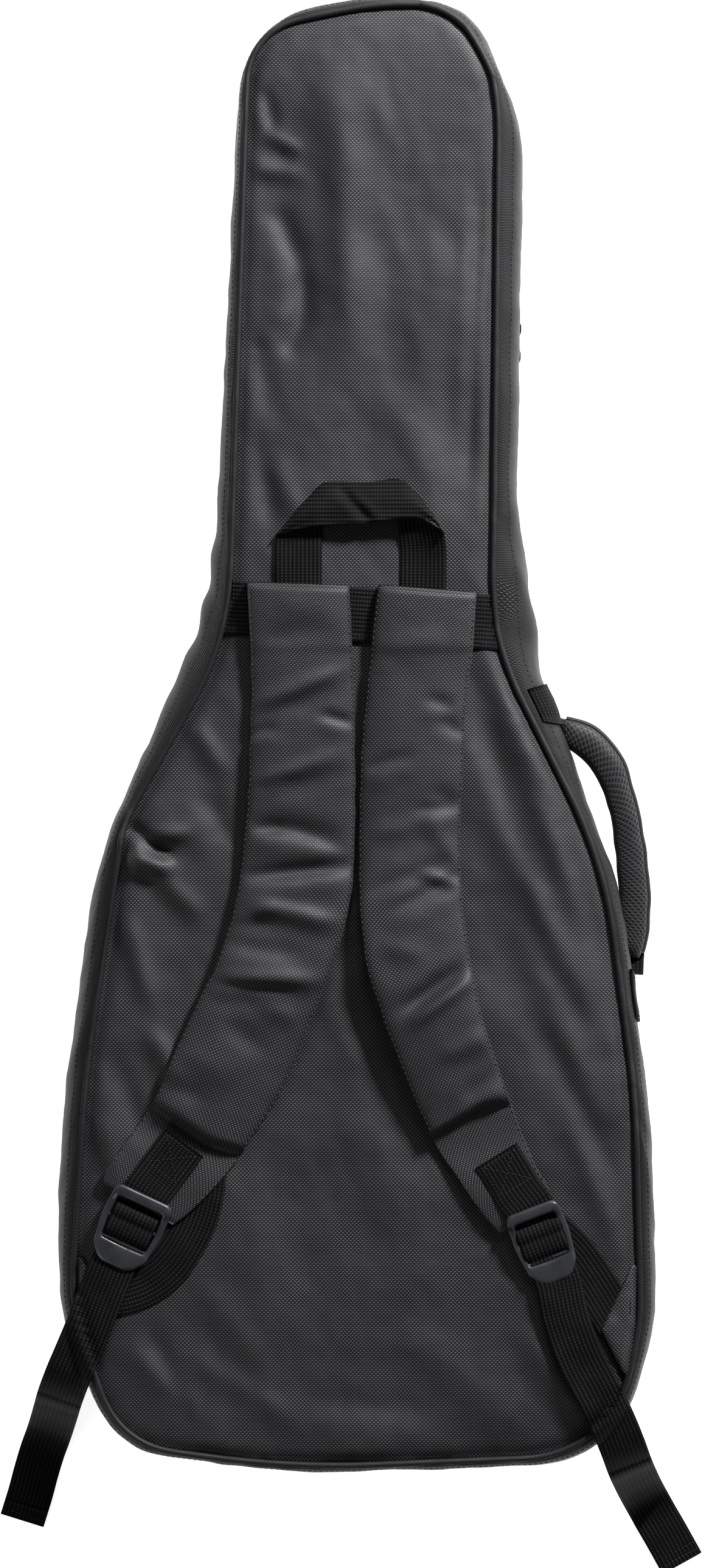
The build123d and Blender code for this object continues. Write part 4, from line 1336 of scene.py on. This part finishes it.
def grab_handle():
    """Carrying loop whose webbing folds over at its left and twists at its right."""
    left_leg = draped_ribbon("grab_handle_left_leg", [(-42, 97), (-41.8, 158)], 32, 0.9, None,
                             trim=lambda x: 146.0 + 0.42 * (x + 58), stands_for=("grab_handle",))
    z = over_panel(49, 120, 1.8)
    leg = spline([(48, 97, z - 0.6), (48.4, 112, z), (48.6, 126, z + 0.6), (48.4, 136, z + 2.0),
                  (47.2, 146, z + 4.6), (45.0, 160, z + 6.0)], 30)
    ups = [(0, 0, 1), (0, 0, 1), (-0.06, 0, 1), (-0.2, 0, 1), (-0.34, 0.1, 1)]
    right_leg = ribbon("grab_handle_right_leg", leg, ups, 31.5, 1.7, None, slot="webbing",
                       trim=lambda x: 147.5 + 0.62 * (63.5 - x))
    for strip, x in ((left_leg, -0.042), (right_leg, 0.048)):
        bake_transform(strip)
    lower = spline([(-58, 144.5), (-50, 147.5), (-38, 150.2), (-16, 152), (6, 153.4), (24, 156), (37, 157.2),
                    (46, 156.8), (54.6, 154.6), (59.6, 151.0), (62.6, 146.0)], 90)
    upper = spline([(-58.4, 146), (-51, 154.8), (-38, 169.5), (-25, 182.6), (-12, 184.2), (6, 183.4),
                    (26, 185.8), (33, 185), (40, 179.2), (50.8, 166.6), (58, 156), (63.4, 145.5)], 90)
    lift_low = np.interp(np.linspace(0, 1, 90), (0, 0.12, 0.4, 0.75, 0.9, 1),
                         (4.2, 6.0, 9.5, 12.0, 12.0, 10.5))
    lift_high = np.interp(np.linspace(0, 1, 90), (0, 0.15, 0.4, 0.75, 0.92, 1),
                          (3.6, 2.8, 4.0, 5.2, 8.0, 9.5))
    share = np.linspace(0, 1, 15)
    plan = lower[:, None, :] * (1 - share)[None, :, None] + upper[:, None, :] * share[None, :, None]
    puff = 2.2 * np.sin(np.pi * share)[None, :] ** 2
    lift = lift_low[:, None] * (1 - share) + lift_high[:, None] * share + puff
    fold = ridge_field(plan[..., 0], plan[..., 1],
                       [(-13, 180, 12, 154, 3.5, -2.2), (-6, 176, 16, 156, 4, 1.4),
                                                    (40, 178, 62, 150, 4, 0.8)])
    z = panel_height(plan[..., 0], plan[..., 1]) + lift + fold
    top = np.dstack([plan, z + 0.85])
    bottom = np.dstack([plan, z - 0.85])[:, ::-1]
    points = np.concatenate([top, bottom], 1)
    rows, columns = points.shape[:2]
    corners, _ = grid_faces(rows, columns, False, True)
    faces = corners.tolist() + [list(range(columns))[::-1],
                                [(rows - 1) * columns + j for j in range(columns)]]
    flat = points.reshape(-1, 3)
    cloth = np.array([(flat[i, 1], flat[i, 0]) for f in faces for i in f])
    piece("grab_handle_loop", flat, [f[::-1] for f in faces], cloth_reversed(faces, cloth), WEBBING,
          "grab_handle", slot="webbing")


def cloth_reversed(faces, cloth):
    """The cloth places of faces whose corners are put in the opposite order."""
    out = []
    start = 0
    for f in faces:
        out.append(cloth[start:start + len(f)][::-1])
        start += len(f)
    return np.vstack(out)


def gusset_patch(name, points, first_y, last_y, columns, body, node):
    """Webbing patch sewn flat on the right side's gusset, and its stitching."""
    x, y = side_plan.T
    on_right = np.flatnonzero((x > 0) & (y < first_y) & (y > last_y))
    part = points[on_right][:, columns]
    out = np.column_stack([SIDE_NORMAL[on_right], np.full(len(on_right), 0.35)])
    face = part + out[:, None, :] * 2.0
    back = (part + out[:, None, :] * 0.3)[:, ::-1]
    ring = np.concatenate([face, back], 1)
    along = line_lengths(part[:, 0])
    across = np.append(line_lengths(ring[0]), 0)
    grid_piece(name, ring, along, across, WEBBING, body, wrap_columns=True, caps=True,
               stands_for=(node,), slot="webbing")
    for k, row in enumerate((1, -2)):
        line = face[row] + out[row] * 0.2
        stitches(name + "_stitches_" + str(k + 1), line, np.tile(out[row], (len(line), 1)), body,
                 **WEBBING_STITCH)


def side_handle():
    """Padded carrying grip beside the body: mesh over foam, a bound outer edge and webbing under it."""
    edges = [
        (150.5, -5, 146.5, 13.5), (154, -9, 156, 12), (160, -13.5, 166.5, 9), (168, -21, 176.5, 3),
        (174, -30, 186.2, -7.5), (179, -41, 194, -20.5), (183.3, -54, 200, -40.5), (186.6, -73, 206, -66),
        (189, -95, 209.8, -92), (190.5, -118, 211.6, -118), (191.5, -138, 210.6, -140),
        (193.5, -152, 208.2, -154), (196, -160, 205.5, -161.5),
    ]
    rows = []
    for lx, ly, rx, ry in edges:
        left = seen_from_above(lx, ly, GRIP_Z)
        right = seen_from_above(rx, ry, GRIP_Z)
        rows.append((*left, *right))

    def thickness(along, across, length):
        return 9.5 * end_closing(along, length, 12, 12) * np.ones_like(across)

    points, along, width = cushion(rows, lambda x, y, s: np.full(x.shape, GRIP_Z - 4.6), thickness, [], 1.6,
                                   18, 0.6)
    points[:, 18:, 2] -= 2.2
    grip = grid_piece("side_handle_mesh_grip", points, along, width, MESH, "side_handle", **SOLID,
                      stands_for=("side_handle_grip",), slot="air_mesh")
    outer = points[3:-3, 17] + (0, 0, 1.6)
    forward = unit(np.gradient(outer, axis=0))
    out = np.cross(forward, (0, 0, 1.0))
    out = out * np.sign(out[len(out) // 2][0])
    ring = ring_angles(12)
    section = np.stack([2.0 * np.cos(ring), 3.4 * np.sin(ring)], 1)
    binding = swept(outer, out, facing(outer), section)
    run = np.arange(len(outer)) * 2.2
    grid_piece("side_handle_binding", binding, run, loop_lengths(section), PIPING, "side_handle",
               wrap_columns=True,
               caps=True, flip=False, slot="webbing")
    path = spline([(152, 3.5, 86.2), (158, 0, 85.4), (166, -5, 84.4), (180, -17, 84), (190, -34, 84),
                   (196, -62, 84), (201, -95, 84), (202.4, -125, 84), (202, -150, 84.5), (201, -163, 86),
                   (200.5, -174, 87.5)], 120)
    ribbon("side_handle_webbing_strap", path, (0, 0, 1), 17, 1.5, "side_handle", slot="webbing",
           stands_for=("side_handle_webbing",))


# ---- Buckles -------------------------------------------------------------------------------
class Place:
    """A flat frame on a strap: x across it, y back along it to the pad and z up."""

    def __init__(self, centre, turn, z, tilt=0.0, width=1.0):
        a = math.radians(turn)
        self.origin = np.array((*centre, z))
        self.y = np.array((-math.cos(a), -math.sin(a), 0.0))
        self.x = width * np.array((self.y[1], -self.y[0], 0.0))
        self.z = np.array((0, 0, 1.0))
        if tilt:
            t = math.radians(tilt)
            self.y, self.z = (self.y * math.cos(t) + self.z * math.sin(t),
                              self.z * math.cos(t) - self.y * math.sin(t))

    def __call__(self, p):
        return self.origin + self.x * p[0] + self.y * p[1] + self.z * p[2]

    def many(self, points):
        """Several points at once."""
        return np.array([self(p) for p in points])


BUCKLE_OUTER = [(-22.6, 26, 6.5), (22.6, 26, 6.5), (23.6, 2, 30), (20.5, -20, 12), (12, -31, 12),
                (-12, -31, 12), (-20.5, -20, 12), (-23.6, 2, 30)]
BUCKLE_WINDOW = [(-17.2, 17.4, 2), (17.2, 17.4, 2), (18.6, 2, 30), (17, -14.6, 2.2), (4, -15.2, 20),
                 (-4, -15.2, 20), (-17, -14.6, 2.2), (-18.6, 2, 30)]


def buckle(side, place):
    """Ladder-lock buckle: one moulding with a thick top bar, slim sides and a half-moon plate."""
    body = side + "_buckle"
    counts = [(8, 10), (8, 8), (5, 8), (6, 6), (6, 8), (6, 6), (6, 8), (5, 8)]
    outer = rounded_loop(BUCKLE_OUTER, counts)[0]
    inner = rounded_loop(BUCKLE_WINDOW, counts)[0]
    ring = ring_angles(24)
    cut = np.sign(np.cos(ring)) * np.abs(np.cos(ring)) ** 0.55
    rise = np.sign(np.sin(ring)) * np.abs(np.sin(ring)) ** 0.75
    middle = (outer + inner) / 2
    half = (outer - inner) / 2
    high_bar = smoothstep((middle[:, 1] - 12) / 8)
    plate = smoothstep((-middle[:, 1] - 12) / 8)
    thick = 2.1 + 1.5 * high_bar - 0.3 * plate
    lift = 0.6 * high_bar + 1.4 * plate
    plan = middle[:, None, :] + half[:, None, :] * cut[None, :, None]
    z = lift[:, None] + thick[:, None] * rise[None, :]
    local = np.dstack([plan, z])
    points = place.many(local.reshape(-1, 3)).reshape(local.shape)
    grid_piece(body + "_frame", points, loop_lengths(outer), np.linspace(0, 24, 25), BUCKLE, body,
               wrap_rows=True, wrap_columns=True, stands_for=(body,), slot="buckle_plastic")
    for k, y in enumerate((2.0, -13.4)):
        bar = place.many([(x, y, -0.6) for x in np.linspace(-18.6, 18.6, 12)])
        tube(body + "_bar_" + str(k + 1), bar, 1.5, BUCKLE, body, slot="buckle_plastic")


def strap_end(side, place, patch, turn):
    """Webbing patch sewn on the pad's tongue, which reaches in under the buckle's top bar."""
    start = np.array(patch)
    a = math.radians(turn)
    step = np.array((math.cos(a), math.sin(a), 0))
    path = [start, start + step * 12 + (0, 0, -0.2), start + step * 25, start + step * 32 + (0, 0, 0.4),
            place((0, 27.6, 1.2)), place((0, 22.4, 0.2))]
    ribbon(side + "_strap_patch_webbing", spline(path, 70), (0, 0, 1), PATCH_WIDTH, 1.7, side + "_strap",
           slot="webbing",
           stands_for=(side + "_strap_patch",), step=1.4)
    across = np.array((-step[1], step[0], 0))
    corners = [start + step * at + across * off + (0, 0, 0.95)
               for at, off in ((3, -13), (3, 13), (27, 13), (27, -13))]
    box_stitch(side + "_patch_stitches", corners, side + "_strap")


def box_stitch(name, corners, body):
    """Square of stitches with a cross in it."""
    c = np.array(corners, float)
    rows = [(0, 1), (1, 2), (2, 3), (3, 0), (0, 2), (1, 3)]
    for k, (i, j) in enumerate(rows):
        line = even(np.array([c[i], c[j]]), 2.0)
        stitches(name + "_" + str(k + 1), line, facing(line), body,
                 length=2.1, pitch=2.9, width=0.5, slot="webbing")


def tail(side, place, route):
    """Webbing from the buckle's window, under its plate and down over the bag's edge to the floor."""
    inside = place.many([(0, 15.0, -3.4), (0, 13.4, -1.2), (0, 11.2, 1.4), (0, 8.0, 2.6), (0, 4.8, 2.3),
                         (0, 2.4, 1.4), (0, 0.4, 2.0), (0, -3.4, 2.5), (0, -7.4, 2.2), (0, -10.6, 0.6),
                         (0, -13.4, -2.8), (0, -18, -3.4), (0, -26, -3.4), (0, -33, -3.0)])
    outside = np.array([(*seen_from_above(x, y, z), z) for x, y, z in route])
    line = spline(np.vstack([inside, outside]), 260)
    body = side + "_tail"
    made = ribbon(side + "_tail_webbing", line, (0, 0, 1), TAIL_WIDTH, 1.6, None, slot="webbing", step=1.5,
                  clearance=5.0, stands_for=(body,))
    start = place((0, -31, 0))
    end = place((0, -48, 0))
    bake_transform(made)
    tip = even(line, 1.5)
    back = tip[-9:]
    turn, top = turning_frames(back, np.array((0.0, 0.0, 1.0)))
    folded = back + top * 1.5
    ribbon(side + "_tail_hem", folded, (0, 0, 1), TAIL_WIDTH, 1.5, body, slot="webbing", step=1.2)
    for k, row in enumerate((1, 5)):
        across = np.array([folded[row] + turn[row] * s + top[row] * 0.95 for s in np.linspace(-15, 15, 12)])
        stitches(side + "_tail_stitches_" + str(k + 1), across, np.tile(top[row], (12, 1)), body,
                 **WEBBING_STITCH)


def lower_webbing(side, route):
    """Webbing from the anchor on the bag's lower corner to the buckle."""
    line = spline(route, 90)
    made = ribbon(side + "_lower_webbing_strap", line, (0, 0, 1), LOWER_WIDTH, 1.6, None, slot="webbing",
                  step=1.8,
                  clearance=0.3, within=7.0, stands_for=(side + "_lower_webbing",))
    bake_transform(made)


def anchor(side, corners, hem):
    """Folded triangle of cloth that holds the lower webbing in the piping seam."""
    loop = rounded_plan(corners, 2.4)

    def height(x, y):
        edge = distance_to_loop(x, y, loop)
        return panel_height(x, y) + 4.6 - 2.0 * np.exp(-edge / 1.4) + 0.25 * lattice_noise(x, y, 8, 121)

    plan_piece(side + "_anchor_cloth", loop, 2.6, height, STRAP_CLOTH, "back_shell", slot="pack_cloth",
               under=lambda x, y: panel_height(x, y) + 0.3, stands_for=(side + "_anchor",),
               margins=(0.8, 2.0, 3.5))
    line = even(np.array(hem, float), 2.0)
    z = panel_height(line[:, 0], line[:, 1]) + 4.9
    stitches(side + "_anchor_stitches", np.column_stack([line, z]), facing(line),
             "back_shell", length=2.4, pitch=3.2, slot="pack_cloth")


# ---- Build ---------------------------------------------------------------------------------
back_points = shell("back", 1)
shell("front", -1)
for side_name, direction in (("back", 1), ("front", -1)):
    zipper(side_name, direction)
    lining(side_name, direction)
spine()
wear_patch("head_wear_patch", "head_patch")
wear_patch("end_wear_patch", "end_patch")
pocket()
pocket_zipper()
pocket_slider()
main_slider("upper_zip", "upper_slider", "upper_pull")
main_slider("lower_zip", "lower_slider", "lower_pull")
strap_band()
shoulder_pad("left", LEFT_PAD, LEFT_PAD_FOLDS, 72)
shoulder_pad("right", RIGHT_PAD, RIGHT_PAD_FOLDS, 76)
grab_handle()
gusset_patch("side_handle_upper_patch", back_points, 40, 5, slice(2, 14), "back_shell",
             "side_handle_upper_base")
gusset_patch("side_handle_lower_patch", back_points, -169, -208, slice(7, 16), "back_shell",
             "side_handle_lower_base")
side_handle()

LEFT_BUCKLE = Place((-163.3, -355.2), 245, 127.4, 3)
RIGHT_BUCKLE = Place((134.6, -365.4), 291.0, 127.4, 3, 0.9)
buckle("left", LEFT_BUCKLE)
buckle("right", RIGHT_BUCKLE)
strap_end("left", LEFT_BUCKLE, (-125.0, -294.0, 128.4), 233.5)
strap_end("right", RIGHT_BUCKLE, (101.0, -303.5, 128.4), 301.5)
tail("left", LEFT_BUCKLE, [(-189.3, -414.8, 121.4), (-195, -430, 120.6), (-203, -449, 119.8),
                           (-209, -463, 117.4), (-214, -476, 106), (-218, -489, 72), (-221, -499, 36),
                           (-224, -508, 11), (-228, -519, 3.0), (-232.5, -534, 2.0), (-236.5, -549, 3.2),
                           (-242.5, -568.4, 1.6)])
tail("right", RIGHT_BUCKLE, [(151.8, -421.4, 121.2), (163.3, -452.3, 120.2), (176, -476.6, 119.8),
                             (186.7, -499.6, 118.6), (193, -515, 114), (198, -528.7, 98), (203, -540, 62),
                             (207, -548, 30), (211.4, -556, 9), (217, -566, 2.6), (224, -578, 2.4),
                             (236.1, -599.7, 1.6)])
lower_webbing("left", [(-196, -401, 121.2), (-184, -403.5, 121.4), (-171.2, -402.9, 121.0),
                       (-153, -396.5, 120.8), (-137.2, -384.4, 120.8), (-126.2, -369, 121.0),
                       (-118.3, -353.5, 121.2), (-113.5, -338, 121.4), (-111, -322, 121.4),
                       (-111, -308, 121.4)])
lower_webbing("right", [(130, -352, 122.4), (143, -361.5, 122.0), (156.2, -373.8, 121.4),
                        (170.3, -393.2, 121.0), (184, -415.3, 120.8), (190, -425, 120.6)])
anchor("left", [(-203, -371, 2), (-183, -409, 2.5), (-198, -432, 2), (-201.5, -412, 40)],
       [(-200.5, -380), (-186, -407)])
anchor("right", [(203.5, -376, 2), (177.2, -430.5, 2.5), (196.5, -469, 2), (202.5, -428, 80)],
       [(201, -388), (180.8, -430)])


# ---- Studio --------------------------------------------------------------------------------
def stage():
    """White floor."""
    size = 6.0
    mesh = bpy.data.meshes.new("studio_floor")
    mesh.from_pydata([(-size, -size, 0), (size, -size, 0), (size, size, 0), (-size, size, 0)], [],
                     [(0, 1, 2, 3)])
    floor = bpy.data.objects.new("studio_floor", mesh)
    bpy.context.scene.collection.objects.link(floor)
    n = Nodes("studio_paper")
    n.shader.inputs["Base Color"].default_value = (0.9, 0.9, 0.9, 1)
    n.shader.inputs["Roughness"].default_value = 0.9
    n.shader.inputs["Emission Color"].default_value = (1, 1, 1, 1)
    n.shader.inputs["Emission Strength"].default_value = 0.9
    mesh.materials.append(n.material)


def area_light(name, place, aim, size, power):
    """Softbox aimed at a place."""
    lamp = bpy.data.lights.new(name, "AREA")
    lamp.shape = "RECTANGLE"
    lamp.size, lamp.size_y = size
    lamp.energy = power
    thing = bpy.data.objects.new(name, lamp)
    thing.location = place
    thing.rotation_euler = (Vector(aim) - Vector(place)).to_track_quat("-Z", "Y").to_euler()
    bpy.context.scene.collection.objects.link(thing)


def studio():
    """Floor, world, lights and camera."""
    stage()
    world = bpy.data.worlds.new("studio")
    world.use_nodes = True
    world.node_tree.nodes["Background"].inputs["Color"].default_value = (1, 1, 1, 1)
    world.node_tree.nodes["Background"].inputs["Strength"].default_value = 0.06
    bpy.context.scene.world = world
    area_light("key_softbox", (1.5, 2.05, 1.5), (0, 0.15, 0.1), (0.32, 0.45), 158)
    area_light("fill_softbox", (-1.5, -1.7, 1.6), (0, -0.1, 0.1), (0.9, 1.2), 8)
    area_light("end_softbox", (0.1, 2.3, 1.7), (0, 0.2, 0.1), (1.0, 0.6), 18)
    lens = bpy.data.cameras.new("camera")
    lens.sensor_width = SENSOR
    lens.lens = SENSOR * CAMERA_HEIGHT / VIEW_HEIGHT
    lens.clip_end = 20.0
    camera = bpy.data.objects.new("camera", lens)
    camera.location = (CAMERA_X * MM, CAMERA_Y * MM, (BACK_Z + CAMERA_HEIGHT) * MM)
    bpy.context.scene.collection.objects.link(camera)
    bpy.context.scene.camera = camera
    bpy.context.scene.view_settings.view_transform = "Standard"


studio()
